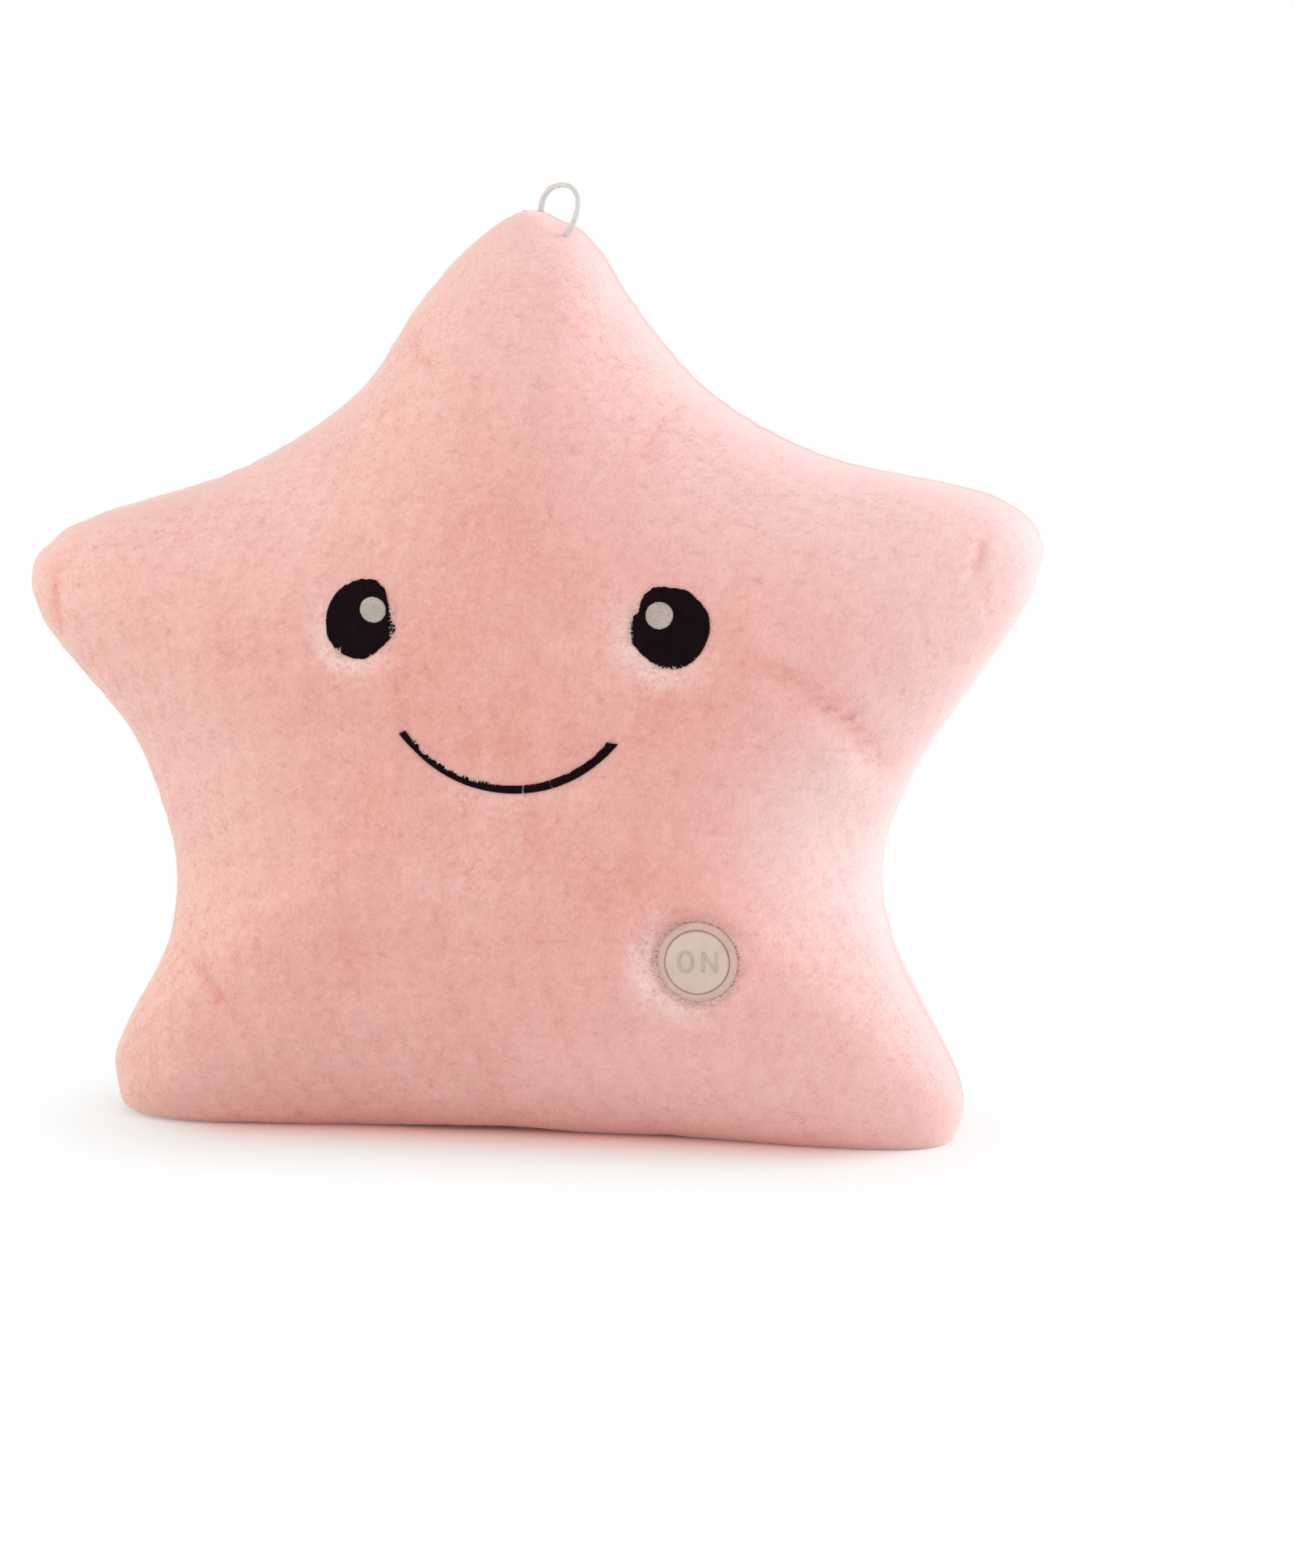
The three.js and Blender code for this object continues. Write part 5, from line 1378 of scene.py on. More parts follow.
    def pile(self, name: str, grid: Pair, count: int, seed: int, keep: Callable, whole: bool) -> None:
        """Loose ends of the pile over a skin: thin triangles sown evenly, whose tips lean the way it is brushed.

        Args:
            name: The piece's name.
            grid: The skin's grid and its normals.
            count: How many blades to sow.
            seed: Start of the random numbers.
            keep: Says for places across and up whether a blade stays.
            whole: Whether the grid goes all the way round.
        """
        random = np.random.default_rng(seed)
        points, normal = self.settle(grid[0]), grid[1]
        points = np.concatenate([points[:1].mean(1, keepdims=True) + 0 * points[:1], points])
        normal = np.concatenate([normal[2:3].mean(1, keepdims=True) + 0 * normal[:1], normal])
        if whole:
            points, normal = (np.concatenate([part, part[:, :1]], 1) for part in (points, normal))
        across, down = points[1:, 1:] - points[:-1, :-1], points[:-1, 1:] - points[1:, :-1]
        area = np.linalg.norm(np.cross(across, down), axis=-1)
        cell = np.searchsorted(np.cumsum(area) / area.sum(), random.random(count))
        row, column = np.unravel_index(np.minimum(cell, area.size - 1), area.shape)
        u, v = random.random((2, count, 1))
        foot, up = (between(part, row, column, u, v) for part in (points, normal))
        stays = keep(foot[:, 0], foot[:, 2]) & (foot[:, 2] > 1.5 * MM)
        foot, up = foot[stays], up[stays]
        number = len(foot)
        brush = np.array(self.brush) + 0.28 * waves(foot, random, 16, (3.5, 11))
        brush = brush + random.normal(0, 0.22, (number, 3))
        lean = unit(brush - up * (brush * up).sum(1, keepdims=True))
        open_rim = ramp(row[stays] / len(area), 0.72, 0.92)[:, None]
        rise = random.uniform(0.22, 0.6, (number, 1)) * (1 - 0.65 * open_rim)
        way = up * rise + lean * np.sqrt(1 - rise ** 2)
        side = unit(np.cross(way, up))
        length = self.pile_length * random.uniform(0.6, 1.15, (number, 1)) * (1 - 0.45 * open_rim)
        half = side * self.pile_width * random.uniform(0.7, 1.3, (number, 1)) / 2
        foot = foot - up * 0.1 * MM
        corners = np.stack([foot - half, foot + half, foot + way * length], 1)
        corners[..., 2] = np.maximum(corners[..., 2], 0.1 * MM)
        faces = Faces()
        faces.add(corners, triangles=np.arange(number * 3))
        mesh = dressed(name, faces.mesh(name), Finish.PILE).data
        self.mark(mesh)
        mesh.normals_split_custom_set_from_vertices(np.repeat(unit(up + 0.5 * np.cross(side, way)), 3, 0).tolist())

    def make(self) -> None:
        """Both sides with their pile."""
        face = self.form.face

        def bare_front(x: Array, z: Array) -> Array:
            """Whether a place of the front is clear of embroidery and button."""
            eyes = (face.oval(face.left_eye, x, z) > 1) & (face.oval(face.right_eye, x, z) > 1)
            return (face.off_button(x, z) > 14.4 * MM) & eyes & (face.smile_gap(x, z) > 1.5 * MM)

        def bare_back(x: Array, z: Array) -> Array:
            """Whether a place of the back is clear of the zip's slot."""
            return (np.abs(x) > 5.5 * MM) | (np.abs(z - 148 * MM) > 55 * MM)

        self.pile("front_pile", self.front(), self.front_blades, 11, bare_front, True)
        for side, name, seed in ((-1, "left", 11), (1, "right", 13)):
            self.pile(f"back_pile_{name}", self.back(side, name), self.back_blades, seed, bare_back, False)


LEFT_EYE_SHAPE = np.array([
    (17, 100), (48, 96), (65, 91), (76, 80), (83, 55), (90, 33), (93, 15), (90, 0), (94, -17), (100, -34), (90, -50),
    (71, -64), (40, -83), (9, -95), (-14, -98), (-52, -86), (-81, -63), (-97, -34), (-100, -10), (-91, 30), (-66, 67),
    (-29, 90),
]) / 100.0
RIGHT_EYE_SHAPE = np.array([
    (-18, 99), (0, 93), (29, 88), (60, 75), (80, 50), (94, 28), (100, 5), (96, -24), (83, -50), (60, -76), (33, -93),
    (2, -100), (-13, -97), (-21, -90), (-31, -93), (-55, -78), (-81, -50), (-95, -28), (-100, -14), (-93, 5),
    (-96, 24), (-85, 33), (-71, 47), (-60, 72), (-43, 90),
]) / 100.0
ROUND_SHAPE = np.array([(math.cos(turn), math.sin(turn)) for turn in np.arange(12) * tau / 12])


def chords(outline: Array, across: Array) -> Pair:
    """The lowest and the highest crossing of upright lines with a closed outline."""
    start, end = outline, np.roll(outline, -1, 0)
    run = end[:, 0] - start[:, 0]
    t = (across[:, None] - start[:, 0]) / np.where(np.abs(run) < 1e-12, 1e-12, run)
    height = start[:, 1] + t * (end[:, 1] - start[:, 1])
    met = (t >= 0) & (t < 1)
    return np.where(met, height, np.inf).min(1), np.where(met, height, -np.inf).max(1)


@dataclass(frozen=True)
class Patch:
    """One filled patch of embroidery: where it lies, its outline and how its threads run."""

    oval: tuple
    shape: Array
    lean: float
    lift: float
    finish: Finish
    ragged: float
    seed: int


@dataclass
class Embroidery:
    """The eyes, their glints and the smile, sewn thread by thread."""

    form: PlushForm
    pitch: float = 0.34 * MM
    thread: float = 0.25 * MM
    crown: float = 0.8 * MM
    lift: float = 0.3 * MM
    needle: float = 4.2 * MM
    smile_pitch: float = 0.3 * MM
    smile_thread: float = 0.2 * MM

    def surface(self, x: Array, z: Array) -> Array:
        """The plush's depth at places across and up, along Y."""
        return -self.form.height(x, z, -1)

    def dome(self, across: Array, along: Array) -> Array:
        """Height of a patch's crown at shares of its half sizes: roots of one less their fourth powers."""
        return self.crown * np.sqrt(np.maximum(0, 1 - across ** 4) * np.maximum(0, 1 - along ** 4))

    def patch(self, name: str, node: str, patch: Patch) -> None:
        """A patch filled with long stitches side by side, each straight across the patch.

        Small groups of threads stray over the outline by the same chance length, and each thread rises in a low
        dome with small dips where the needle went through.

        Args:
            name: The piece's name.
            node: The CAD node that it stands for.
            patch: What is sewn.
        """
        random = np.random.default_rng(patch.seed)
        across, up, wide, tall = patch.oval
        outline = smooth_ring(patch.shape, 6) * [wide, tall]
        cos, sin = math.cos(patch.lean), math.sin(patch.lean)
        turned = outline @ np.array([[cos, sin], [-sin, cos]])
        low, high = turned[:, 0].min(), turned[:, 0].max()
        count = int((high - low) / self.pitch)
        aside = low + (np.arange(count) + 0.5) / count * (high - low)
        bottom, top = chords(turned, aside)
        stray = np.repeat(random.uniform(-0.4, 1, (count // 3 + 1, 2)), 3, 0)[:count] * patch.ragged
        bottom, top = bottom - stray[:, 0], top + stray[:, 1]
        t = np.linspace(0, 1, 26)[None]
        along = bottom[:, None] + (top - bottom)[:, None] * t
        sway = aside[:, None] + random.normal(0, 0.04 * MM, count)[:, None]
        x = across + sway * cos - along * sin
        z = up + sway * sin + along * cos
        span = (aside - (low + high) / 2) / (high - low) * 2
        needle = np.abs(np.sin((along / self.needle + (np.arange(count) % 4)[:, None] / 4) * pi))
        dip = 0.09 * MM * (1 - np.minimum(1, needle * 4))
        y = self.surface(x, z) - patch.lift - self.dome(span[:, None], 2 * t - 1) + dip
        faces = Faces()
        tubes(faces, np.stack([x, y, z], -1), self.thread * random.uniform(0.9, 1.1, (count, 1)), FRONT, 6, 0.8)
        self.backing(faces, patch, outline)
        dressed(name, faces, patch.finish, node)

    def backing(self, faces: Faces, patch: Patch, outline: Array) -> None:
        """Adds the close underlay of a patch: a thin closed pad of its outline, below the long stitches."""
        across, up, wide, tall = patch.oval
        under, thick = 0.12 * MM, 0.3 * MM
        share = np.linspace(0, 0.97, 11)[1:, None]
        dx, dz = share * outline[:, 0], share * outline[:, 1]
        x, z = across + dx, up + dz
        foot = self.surface(x, z) - patch.lift
        front = np.stack([x, foot - self.dome(dx / wide, dz / tall) + under, z], -1)
        back = np.stack([x, foot + thick, z], -1)[::-1]
        centre = self.surface(np.array([across]), np.array([up]))[0] - patch.lift
        ends = [[across, centre + y, up] for y in (under - self.crown, thick)]
        shells(faces, np.concatenate([front, back])[None], ends)

    def smile(self) -> None:
        """The smile: short stitches side by side across a curved line.

        Their upper ends stray on the left, where pile has pushed between them, and are even on the right.
        """
        face = self.form.face
        random = np.random.default_rng(31)
        swing = face.smile_high - face.smile_low
        count = int(swing * face.smile_radius / self.smile_pitch)
        place = np.linspace(0, 1, count)
        half = face.smile_width / 2
        lower = half * np.interp(place, (0, 0.03, 0.08, 0.35, 0.6, 1), (0.9, 0.85, 0.7, 0.95, 1.05, 1.1))
        upper = half * np.interp(place, (0, 0.03, 0.1, 0.35, 0.45, 0.6, 1), (0.9, 0.8, 0.3, 0.5, 0.95, 1, 1))
        strays = np.repeat(random.random(count // 2 + 1), 2)[:count]
        upper = upper + np.where((place > 0.04) & (place < 0.42) & (strays > 0.55), 0.9 * MM * strays, 0)
        steps_up = np.repeat(random.uniform(-0.12, 0.18, count // 9 + 1), 9)[:count] * MM
        upper = upper + steps_up + 0.35 * MM * bell(place, 1, 0.015)
        t = np.linspace(-1, 1, 9)[None]
        out = np.where(t > 0, t * lower[:, None], t * upper[:, None])
        lean = 0.8 * ramp(place, 0.55, 1) - 0.2
        angle = (face.smile_low + swing * place)[:, None] + lean[:, None] * out / face.smile_radius
        x, z = face.smile_place(angle, face.smile_radius + out)
        y = self.surface(x, z) - self.crown * np.sqrt(np.maximum(0, 1 - t ** 2)) - self.lift
        radii = self.smile_thread * random.uniform(0.85, 1.15, (count, 1))
        kept = (np.abs(place - 0.575) >= 0.0035) & (np.abs(place - 0.695) >= 0.0025)
        faces = Faces()
        tubes(faces, np.stack([x, y, z], -1)[kept], radii[kept], FRONT, 6, 0.8)
        dressed("smile_stitches", faces, Finish.BLACK_THREAD, "smile")

    def make(self) -> None:
        """All of the face."""
        face, high = self.form.face, self.lift + self.crown
        black, pale = Finish.BLACK_THREAD, Finish.PALE_THREAD
        patches = {
            "left_eye": Patch(face.left_eye, LEFT_EYE_SHAPE, 0.1, self.lift, black, 0.25 * MM, 41),
            "left_glint": Patch(face.left_glint, ROUND_SHAPE, 1.4, high, pale, 0.1 * MM, 42),
            "right_eye": Patch(face.right_eye, RIGHT_EYE_SHAPE, 0.1, self.lift, black, 0.25 * MM, 43),
            "right_glint": Patch(face.right_glint, ROUND_SHAPE, 1.4, high, pale, 0.1 * MM, 44),
        }
        for name, patch in patches.items():
            self.patch(f"{name}_stitches", name.replace("glint", "eye_glint"), patch)
        self.smile()


@dataclass
class LongPile:
    """Longer pile that lies over the edges of what is sewn or pressed into the plush."""

    form: PlushForm
    width: float = 0.24 * MM
    smile_blades: int = 210
    button_blades: int = 2600
    lower_left: float = 3.75
    faces: Faces = field(default_factory=Faces)
    random: np.random.Generator = field(default_factory=lambda: np.random.default_rng(77))

    def lay(self, x: Array, z: Array, heading: Array, lift: Array, length: Array) -> None:
        """Adds blades on the front.

        Args:
            x: Feet across.
            z: Feet up.
            heading: The way each blade points, as an angle from the viewer's right.
            lift: How steeply each blade leaves the plush.
            length: The blades' lengths, in millimetres.
        """
        y = -self.form.button_well(x, z, self.form.height(x, z, -1))
        foot = np.stack([x, y + 0.1 * MM, z], -1)
        way = unit(np.stack([np.cos(heading), -lift, np.sin(heading)], -1))
        half = unit(np.cross(way, FRONT)) * self.width / 2 * self.random.uniform(0.7, 1.3, (len(x), 1))
        reach = way * (length * MM)[:, None]
        middle = foot + reach * 0.55 + FRONT * 0.15 * MM
        tip = foot + reach - FRONT * (0.3 * length * MM)[:, None]
        corners = np.stack([foot - half, foot + half, middle + half * 0.8, middle - half * 0.8, tip], 1)
        number = np.arange(len(x))[:, None] * 5
        self.faces.add(corners, number + [0, 1, 2, 3], number + [3, 2, 4])

    def eyes(self) -> None:
        """Blades that push into the frayed sides of the eyes."""
        face, random = self.form.face, self.random
        rows = (
            (face.left_eye, 0.98, (0.45, -0.4), pi, 170),
            (face.right_eye, -1.03, (0.7, -0.5), 0, 190),
            (face.left_eye, -0.55, (-0.8, -1.02), pi / 2, 60),
        )
        for eye, side, (top, bottom), inward, count in rows:
            up = random.uniform(bottom, top, count)
            out = np.abs(random.normal(0, 0.05, count)) * np.sign(side)
            slant = np.maximum(up - 0.3, 0) * 0.55 * (1 if side < -0.9 else -0.3)
            x, z = eye[0] + (side + slant + out) * eye[2], eye[1] + up * eye[3]
            heading = inward + random.normal(0, 0.45, count)
            self.lay(x, z, heading, random.uniform(0.5, 0.9, count), random.uniform(1.4, 2.6, count))
        eye, count = face.right_eye, 46
        turn = random.uniform(-2.1, -0.7, count)
        reach = random.uniform(0.99, 1.06, count)
        x, z = eye[0] + reach * eye[2] * np.cos(turn), eye[1] + reach * eye[3] * np.sin(turn)
        heading = turn + pi + random.normal(0, 0.4, count)
        self.lay(x, z, heading, random.uniform(0.5, 1, count), random.uniform(1.2, 2.2, count))

    def smile(self) -> None:
        """Blades between the stitches of the smile's left half."""
        face, random, count = self.form.face, self.random, self.smile_blades
        turn = face.smile_low + (face.smile_high - face.smile_low) * random.uniform(0.05, 0.46, count)
        x, z = face.smile_place(turn, face.smile_radius - random.uniform(1.2, 2.4, count) * MM)
        heading = turn - pi / 2 + random.normal(0.2, 0.4, count)
        self.lay(x, z, heading, random.uniform(0.5, 0.9, count), random.uniform(1.2, 2.4, count))

    def button(self) -> None:
        """Blades round the push button, most and longest at its lower left."""
        random, (across, up) = self.random, self.form.face.button
        turn = random.uniform(0, tau, self.button_blades)
        bias = 0.5 + 0.5 * np.cos(turn - self.lower_left)
        stays = random.random(len(turn)) < 0.25 + 0.75 * bias ** 1.5
        turn, bias = turn[stays], bias[stays]
        radius = (14.7 + np.abs(random.normal(0, 1.3, len(turn)))) * MM
        heading = turn + pi + random.normal(0, 0.7, len(turn))
        lift = random.uniform(0.5, 1.1, len(turn))
        length = 1.4 + 1.9 * bias * random.random(len(turn))
        self.lay(across + radius * np.cos(turn), up + radius * np.sin(turn), heading, lift, length)

    def make(self) -> None:
        """All of the long pile."""
        self.eyes()
        self.smile()
        self.button()
        dressed("long_pile", self.faces.mesh("long_pile"), Finish.LONG_PILE)


@dataclass
class PushButton:
    """The bezel and the cap with its raised letters; all but the centre is in millimetres."""

    centre: tuple
    seat: float
    flange: float = 1.8
    bezel_radius: float = 14.2
    neck_radius: float = 13.0
    neck_end: float = 10.0
    gap: float = 0.3
    cap_radius: float = 11.0
    skirt: float = 0.22
    plunger: float = 1.8
    proud: float = 0.9
    ledge: float = 3.0
    foot: float = 0.6
    letter_height: float = 6.9
    stroke: float = 0.62

    def turned(self, name: str, corners: list, finish: Finish, node: str, body: str) -> None:
        """A turned piece from radius, depth and rounding of its corners."""
        faces = Faces()
        lathe(faces, rounded(np.array(corners) * MM), self.centre)
        dressed(name, faces, finish, node, body)

    def bezel(self) -> None:
        """The bezel: a ring with a soft outer edge, a fine step inside it and a neck behind."""
        back, bore, rim, neck = self.seat - self.gap, self.cap_radius + self.gap, self.bezel_radius, self.neck_radius
        front, wide, end = back - self.flange, bore + self.foot, self.seat + self.neck_end
        ledge = front + self.ledge
        self.turned("bezel_ring", [
            (bore, front + 1.1, 0), (bore, front, 0.7), (rim - 1.6, front, 0.2), (rim, front + 0.55, 0.6),
            (rim, back, 0.2), (neck, back, 0.1), (neck, end, 0.3), (wide, end, 0.1), (wide, ledge, 0.1),
            (bore, ledge, 0.1), (bore, front + 1.2, 0),
        ], Finish.BEZEL, "button_bezel", "pillow")

    def cap(self) -> None:
        """The cap: a shallow dome with a rolled edge, its rim and its plunger, and the letters on it."""
        front = self.seat - self.gap - self.flange - self.proud
        foot, radius, plunger = front + self.proud + self.ledge + self.gap, self.cap_radius, self.plunger
        inner, wide, skirt = radius - 1.6, radius + self.foot, radius + self.skirt
        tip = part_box("switch_stem")[0][1] / MM - self.gap
        self.turned("cap_dome", [
            (0, front, 0), (radius * 0.7, front + 0.02, 1.5), (radius - 0.4, front + 0.12, 0.3),
            (radius, front + 0.5, 0.3), (skirt, front + 0.9, 0.2), (skirt, foot, 0.1), (wide, foot, 0.15),
            (wide, foot + 1, 0.15), (inner, foot + 1, 0.2), (inner, front + 1.6, 0.4), (plunger, front + 1.6, 0.3),
            (plunger, tip, 0.3), (0, tip, 0),
        ], Finish.CAP, "button_cap", "push_button")
        self.letters(front)

    def letters(self, front: float) -> None:
        """The raised letters O and N on the cap, as strokes with a low rounded section."""
        half, left, right, raised = self.letter_height / 2, 2.3, 6.7, 0.4
        turn = np.linspace(0, tau, 49)
        strokes = [np.stack([2.4 * np.cos(turn) - 3.9, half * np.sin(turn)], -1)]
        corners = np.array([[left, -half], [left, half], [right, -half], [right, half]])
        t = np.linspace(0, 1, 12)[:, None]
        strokes += [corners[start] * (1 - t) + corners[start + 1] * t for start in range(3)]
        faces = Faces()
        for line in strokes:
            across, up = self.centre[0] + line[:, 0] * MM, self.centre[1] + (raised + line[:, 1]) * MM
            tubes(faces, np.stack([across, 0 * up + front * MM, up], -1)[None], self.stroke * MM, FRONT, 12, 0.4)
        dressed("cap_letters", faces, Finish.LETTERS, body="push_button")

    def make(self) -> None:
        """The whole button."""
        self.bezel()
        self.cap()


@dataclass
class HangingLoop:
    """The loop of clear filament at the top point; its route is in millimetres."""

    diameter: float = 2.2 * MM
    thinner: float = 0.25
    steps: int = 8
    route: tuple = (
        (5, 0, 329.3), (5.9, -0.4, 333.6), (8.8, -1.8, 337.2), (13.6, -4.2, 338.6), (17.6, -7.4, 337.4),
        (19.8, -10.4, 334.2), (19.9, -12.7, 329.6), (18.2, -13.8, 324.9), (15.3, -13, 320.4),
    )

    def make(self) -> None:
        """The loop, thinner at its top."""
        knots = np.array(self.route) * MM
        guides = [2 * knots[:1] - knots[1:2], 2 * knots[-1:] - knots[-2:-1]]
        path = np.concatenate([spline(np.concatenate([guides[0], knots, guides[1]]), self.steps), knots[-1:]])
        share = np.linspace(0, 1, len(path))
        radii = self.diameter / 2 * (1 - self.thinner * np.sin(pi * share))
        faces = Faces()
        tubes(faces, path[None], radii[None], np.array([0.3, -1, 0.1]), 20, 0.75)
        piece = dressed("loop_strand", faces, Finish.LOOP, "hang_loop")


@dataclass
class Filling:
    """The fibre fill, point by point."""

    body_voxel: float = 5.5 * MM
    point_voxel: float = 4.5 * MM
    drawn_in: float = 1.5 * MM
    clump: float = 0.35 * MM
    points: tuple = ("body", "top_point", "right_point", "right_foot", "left_foot", "left_point")

    def make(self) -> None:
        """Each lump of filling: its solid drawn in by 1 to 3 mm of clumps."""
        for point in self.points:
            name = f"stuffing_{point}"
            piece = dressed(f"{name}_fibre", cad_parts[name].data.copy(), Finish.STUFFING, name)
            voxel = self.body_voxel if point == "body" else self.point_voxel
            modify(piece, "REMESH", mode="VOXEL", voxel_size=voxel)
            points, normal = vertex_arrays(piece.data)
            clump = waves(points, np.random.default_rng(len(name)), 9, (9, 26), False)
            points -= normal * (self.drawn_in + self.clump * np.clip(clump, -3, 3))
            piece.data.vertices.foreach_set("co", points.astype(np.float32).ravel())
            piece.data.shade_smooth()
            piece.data.update()


@dataclass
class BackZip:
    """The zip in the centre back seam: tapes, teeth, slider, pull and stitches."""

    form: PlushForm
    low: float = 98 * MM
    high: float = 200 * MM
    pitch: float = 3.4 * MM
    tooth: float = 1.4 * MM
    tape_inner: float = 1.6 * MM
    tape_outer: float = 14.5 * MM
    tape_low: float = 89.6 * MM
    tape_high: float = 206 * MM
    tape_half: float = 0.22 * MM
    middle: float = 48.97 * MM
    stitch: float = 2.3 * MM
    stitch_pitch: float = 3.1 * MM

    def tape(self, side: int, name: str) -> None:
        """One tape: a thin slab with fine lengthwise ribs, a slight wave and a bead along its inner edge."""
        rows, columns = 150, 64
        x, z = np.meshgrid(
            np.linspace(self.tape_inner, self.tape_outer, columns), np.linspace(self.tape_low, self.tape_high, rows),
        )
        past = np.maximum(self.low - 1.5 * MM - z, z - self.high - 0.5 * MM)
        closing = ramp(past, 0, 1.5 * MM) * 1.45 * MM / (self.tape_outer - self.tape_inner)
        x = x - closing * (self.tape_outer - x)
        rib = 0.022 * MM * np.sin(x * tau / (0.62 * MM)) + 0.02 * MM * np.sin(z * tau / (2.3 * MM))
        half = self.tape_half + rib + 0.22 * MM * bell(x, self.tape_inner + 0.35 * MM, 0.4 * MM)
        wave = 0.12 * MM * np.sin(z * tau / (37 * MM) + side) * ramp(x, 5 * MM, 11 * MM)
        faces = Faces()
        for way in (-1, 1):
            grid = np.stack([side * x, self.middle + wave + way * half, z], -1)
            faces.add(grid, grid_faces(rows, columns, False, way * side < 0))
        row, column = np.arange(rows) * columns, np.arange(columns)
        loop = np.concatenate([column[:-1], row[:-1] + columns - 1, row[-1] + column[:0:-1], row[:0:-1]])
        far = loop + rows * columns
        edge = np.stack([loop, np.roll(loop, -1), np.roll(far, -1), far], -1)
        faces.quads.append(edge if side > 0 else edge[:, ::-1])
        piece = dressed(f"{name}_tape_cloth", faces, Finish.ZIP_CLOTH, f"zip_tape_{name}")
        self.tape_high - self.tape_low

    def loft(self, faces: Faces, x: Array, half_y: Array, z: Array, half_z: Array) -> None:
        """Adds closed rounded blocks along X.

        A block's corner at a section lies on a rounded rectangle, the sign-keeping roots of cosine and sine.

        Args:
            faces: Where the blocks go.
            x: Where each section lies, the same for all blocks.
            half_y: Half thickness of each section.
            z: The height of each block's middle.
            half_z: Half height of each section.
        """
        turn = np.arange(12) * tau / 12 + tau / 24
        cos, sin = (np.sign(part) * np.abs(part) ** 0.45 for part in (np.cos(turn), np.sin(turn)))
        x, half_y, half_z = (part[None, :, None] * MM for part in (x, half_y, half_z))
        z = z[:, None, None] + half_z * sin
        points = np.stack(np.broadcast_arrays(x, self.middle + half_y * cos, z), -1)
        if x[0, -1, 0] < x[0, 0, 0]:
            points = points[:, ::-1]
        shells(faces, points, points[:, [0, -1]].mean(2))

    def teeth(self, side: int, name: str) -> None:
        """One row of teeth: each grips the tape's bead, narrows to a neck and ends in a rounder head."""
        first = self.low + (self.pitch / 2 if side > 0 else 0) + self.pitch / 4
        middle = np.arange(first, self.high - 3 * MM - self.tooth - 0.3 * MM, self.pitch) + self.tooth / 2
        faces = Faces()
        across = np.array([2.2, 2.1, 1.7, 1.2, 0.8, 0.3, -0.2, -0.55, -0.7])
        thick = np.array([0.95, 1.2, 1.3, 1.25, 1, 0.95, 1.05, 0.9, 0.45])
        tall = np.array([0.55, 0.7, 0.72, 0.68, 0.5, 0.5, 0.62, 0.5, 0.25])
        self.loft(faces, side * across, thick, middle, tall)
        stop = np.array([1, 1.25, 1.3, 1.25, 1])
        end = np.array([self.high - 1.5 * MM])
        self.loft(faces, side * np.array([2.2, 2.1, 1.2, 0.3, 0.18]), stop, end, stop + 0.2)
        z = np.linspace(self.low, self.high, 60)
        cord = np.stack([0 * z + side * 1.75 * MM, 0 * z + self.middle, z], -1)
        tubes(faces, cord[None], 0.5 * MM, -FRONT, 10)
        dressed(f"{name}_row_of_teeth", faces, Finish.ZIP_TEETH, f"zip_teeth_{name}")

    def stitches(self) -> None:
        """The rows of stitches that hold the tapes: one beside each edge of the slot and a bar at each end."""
        up = np.arange(91 * MM, 206 * MM, self.stitch_pitch)
        out = np.arange(-7 * MM, 5.5 * MM, self.stitch_pitch)
        rows = [(0 * up + across, up, 0, 1) for across in (-8.2 * MM, 8.2 * MM)]
        rows += [(out, 0 * out + height, 1, 0) for height in (89.5 * MM, 206.5 * MM)]
        seats = np.concatenate([np.stack(np.broadcast_arrays(*row), -1) for row in rows])
        t = np.linspace(0, 1, 7)
        x, z = (seats[:, i, None] + seats[:, i + 2, None] * self.stitch * t for i in (0, 1))
        y = self.form.height(x, z, 1) + 0.35 * MM * np.sin(pi * t) - 0.1 * MM
        faces = Faces()
        tubes(faces, np.stack([x, y, z], -1), 0.24 * MM, -FRONT, 8, 0.85)
        dressed("zip_seam_stitches", faces, Finish.PINK_THREAD)

    def make(self) -> None:
        """The whole zip."""
        for side, name in ((-1, "left"), (1, "right")):
            self.tape(side, name)
            self.teeth(side, name)
        self.stitches()
        softened("bottom_stop_bar", "zip_bottom_stop", "pillow", 0.35 * MM)
        softened("slider_outer_wing", "zip_slider_outer", "zip_slider", 0.22 * MM)
        softened("slider_inner_wing", "zip_slider_inner", "zip_slider", 0.22 * MM)
        softened("pull_tab", "zip_pull", "zip_pull", 0.2 * MM)


@dataclass
class Pocket:
    """The cloth bag behind the zip."""

    flat: tuple = (0.142, 0.198)
    edge: float = 7 * MM
    crease: float = 0.55 * MM
    mouth: float = 47.5 * MM
    waves: int = 8

    def make(self) -> None:
        """The bag: its solid in small faces, moved by a few slow waves that both faces of the cloth share."""
        mesh = merged_copy("pocket_lining", 0.02)
        shape = bmesh.new()
        shape.from_mesh(mesh)
        bmesh.ops.triangulate(shape, faces=shape.faces[:])
        for _ in range(5):
            long_edges = [edge for edge in shape.edges if edge.calc_length() > self.edge]
            bmesh.ops.subdivide_edges(shape, edges=long_edges, cuts=1)
            bmesh.ops.triangulate(shape, faces=shape.faces[:])
        shape.to_mesh(mesh)
        shape.free()
        points, _ = vertex_arrays(mesh)
        move = waves(points, np.random.default_rng(3), self.waves, (18, 45)) * self.crease / math.sqrt(self.waves)
        move[:, 1] = np.where(points[:, 1] > self.mouth, np.minimum(move[:, 1], 0), move[:, 1])
        mesh.vertices.foreach_set("co", (points + move).astype(np.float32).ravel())
        mesh.shade_flat()
        mesh.update()
        piece = dressed("pocket_bag", mesh, Finish.LINING, "pocket_lining")


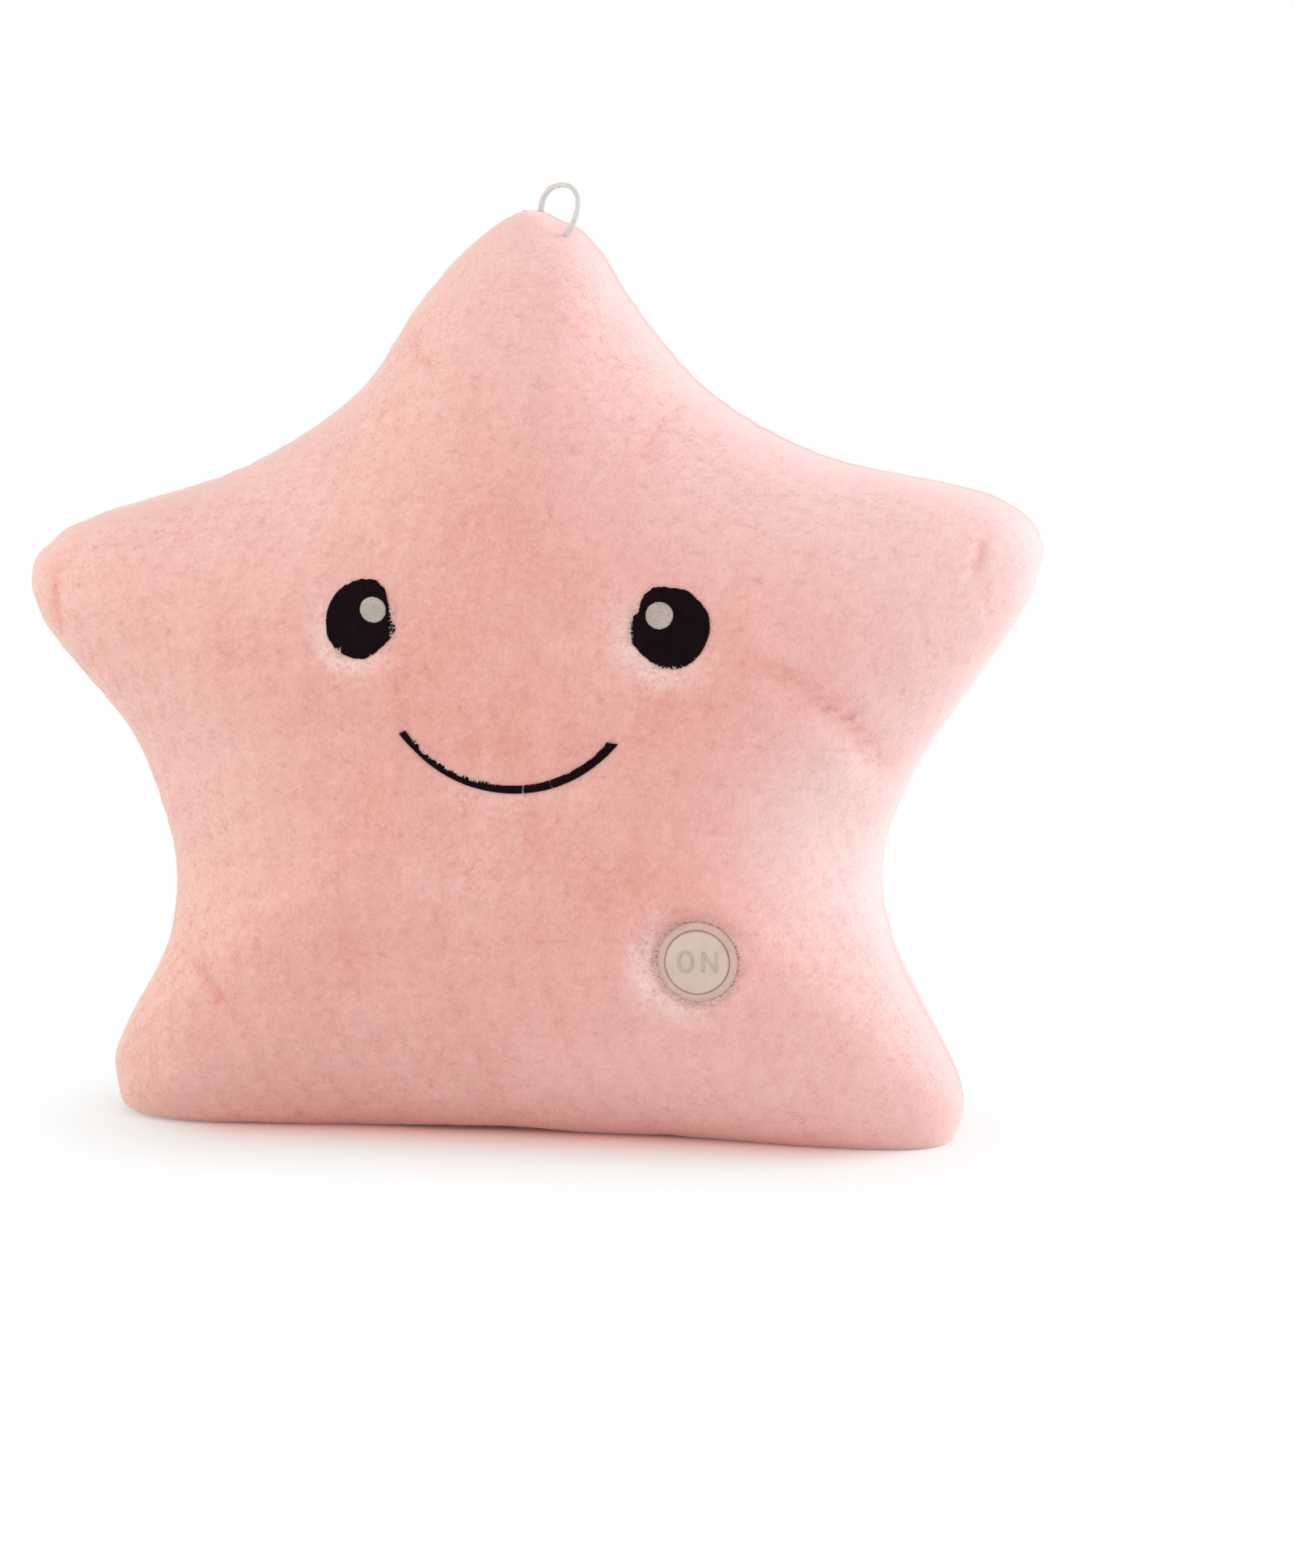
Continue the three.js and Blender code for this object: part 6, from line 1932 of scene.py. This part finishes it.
class Insides:
    """The rigid parts inside, and the lamps: the CAD's own shapes in their finishes."""

    def make(self) -> None:
        """Gives each CAD node its finish."""
        nodes = {
            Finish.WHITE_PLASTIC: "button_housing battery_case battery_lid case_base",
            Finish.BLACK_PLASTIC: "switch_body switch_stem controller_chip",
            Finish.BOARD: "switch_board circuit_board",
            Finish.CONTACT: "battery_contact_negative battery_link_upper battery_link_lower battery_contact_positive",
            Finish.CELL: "battery_1 battery_2 battery_3",
            Finish.BULB: "lamp_1 lamp_2 lamp_3 lamp_4 lamp_5",
            Finish.DIFFUSER: "lamp_cap_1 lamp_cap_2 lamp_cap_3 lamp_cap_4 lamp_cap_5",
            Finish.LEAD: "switch_lead lamp_lead_1 lamp_lead_2 lamp_lead_3 lamp_lead_4 lamp_lead_5",
        }
        for finish, names in nodes.items():
            for name in names.split():
                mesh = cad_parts[name].data
                mesh.materials.clear()
                mesh.materials.append(material(finish))
                log.info("%s: dressed in %s", name, finish.value.name)


@dataclass(frozen=True)
class Studio:
    """Camera, lamps (name, place, size, power and colour), floor and world."""

    azimuth: float = radians(10)
    elevation: float = radians(9)
    lens: float = 85.0
    film: float = 36.0
    distance: float = 1.326
    target: tuple = (0.004, 0, 0.165)
    pixel: tuple = (669, 835)
    picture: tuple = (1600, 1939)
    half_floor: float = 8.0
    lamps: tuple = (
        ("key", (0.7, -1.3, 1.5), 1.2, 10.7, (1, 0.985, 0.965)),
        ("side", (1.5, 0.45, 0.7), 1, 15.8, (0.97, 0.95, 1)),
        ("fill", (-1.4, -0.35, 0.55), 1.2, 8.6, (0.96, 1, 0.8)),
    )

    def camera(self) -> None:
        """The camera at the photograph's angle, turned so that the target falls on its pixel."""
        ca, sa, ce, se = (f(v) for v in (self.azimuth, self.elevation) for f in (math.cos, math.sin))
        target = np.array(self.target)
        place = target + np.array([sa * ce, -ca * ce, se]) * self.distance
        right, up, _ = level_axes(target - place)
        pixel = self.distance / (self.lens / self.film * self.picture[1])
        aim = target + right * (self.picture[0] / 2 - self.pixel[0]) * pixel
        aim = aim + up * (self.pixel[1] - self.picture[1] / 2) * pixel
        data = bpy.data.cameras.new("camera")
        data.lens, data.sensor_width, data.sensor_fit = self.lens, self.film, "AUTO"
        data.clip_start, data.clip_end = 0.05, 60
        camera = placed("camera", data)
        turn = Matrix([Vector(axis) for axis in level_axes(aim - place)]).transposed().to_4x4()
        camera.matrix_world = Matrix.Translation(Vector(place)) @ turn
        scene.camera = camera

    def lamp(self, name: str, place: tuple, size: float, power: float, colour: Colour) -> None:
        """A square soft lamp that looks at the star's middle."""
        data = bpy.data.lights.new(name, "AREA")
        data.shape, data.size, data.energy, data.color = "SQUARE", size, power, colour
        turn = (Vector((0, 0, 0.15)) - Vector(place)).to_track_quat("-Z", "Y").to_matrix().to_4x4()
        placed(name, data).matrix_world = Matrix.Translation(Vector(place)) @ turn

    def floor(self) -> None:
        """A wide white floor."""
        faces = Faces()
        half = self.half_floor
        faces.add([[-half, -half, 0], [half, -half, 0], [half, half, 0], [-half, half, 0]], [[0, 1, 2, 3]])
        mesh = faces.mesh("floor")
        mesh.materials.append(FloorFinish("floor_white", "", (0.86, 0.85, 0.845)).build())
        placed("floor", mesh)

    def world(self) -> None:
        """White surroundings: full white to the camera, dimmer as a light."""
        bench = Bench(bpy.data.worlds.new("studio"))
        seen = bench.make("ShaderNodeLightPath", {}, {}, "Is Camera Ray")
        dim, white = (
            bench.make("ShaderNodeBackground", {}, {"Color": colour, "Strength": strength})
            for colour, strength in (((1, 0.995, 0.985, 1), 0.62), ((1, 1, 1, 1), 1))
        )
        scene.world = bench.finish(bench.mixed(seen, dim, white))

    def make(self) -> None:
        """The whole studio."""
        self.camera()
        self.floor()
        self.world()
        for lamp in self.lamps:
            self.lamp(*lamp)
        scene.view_settings.view_transform = "Standard"


def level_axes(forward: Array) -> tuple[Array, Array, Array]:
    """The right, upward and backward directions of a level camera that looks forward."""
    right = unit(np.cross(forward, [0, 0, 1]))
    return right, unit(np.cross(right, forward)), -unit(forward)


def main() -> None:
    """Builds the studio and the dressed night light."""
    logging.basicConfig(level=logging.INFO, format="%(name)s: %(message)s")
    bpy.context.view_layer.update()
    Studio().make()
    HangingLoop().make()
    seat_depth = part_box("button_bezel")[1][1] - 10 * MM
    form = PlushForm(-seat_depth)
    ClothPass(form).run()
    PlushSkins(form).make()
    Embroidery(form).make()
    LongPile(form).make()
    PushButton(form.face.button, seat_depth / MM).make()
    Filling().make()
    BackZip(form).make()
    Pocket().make()
    Insides().make()


if __name__ == "__main__":
    main()
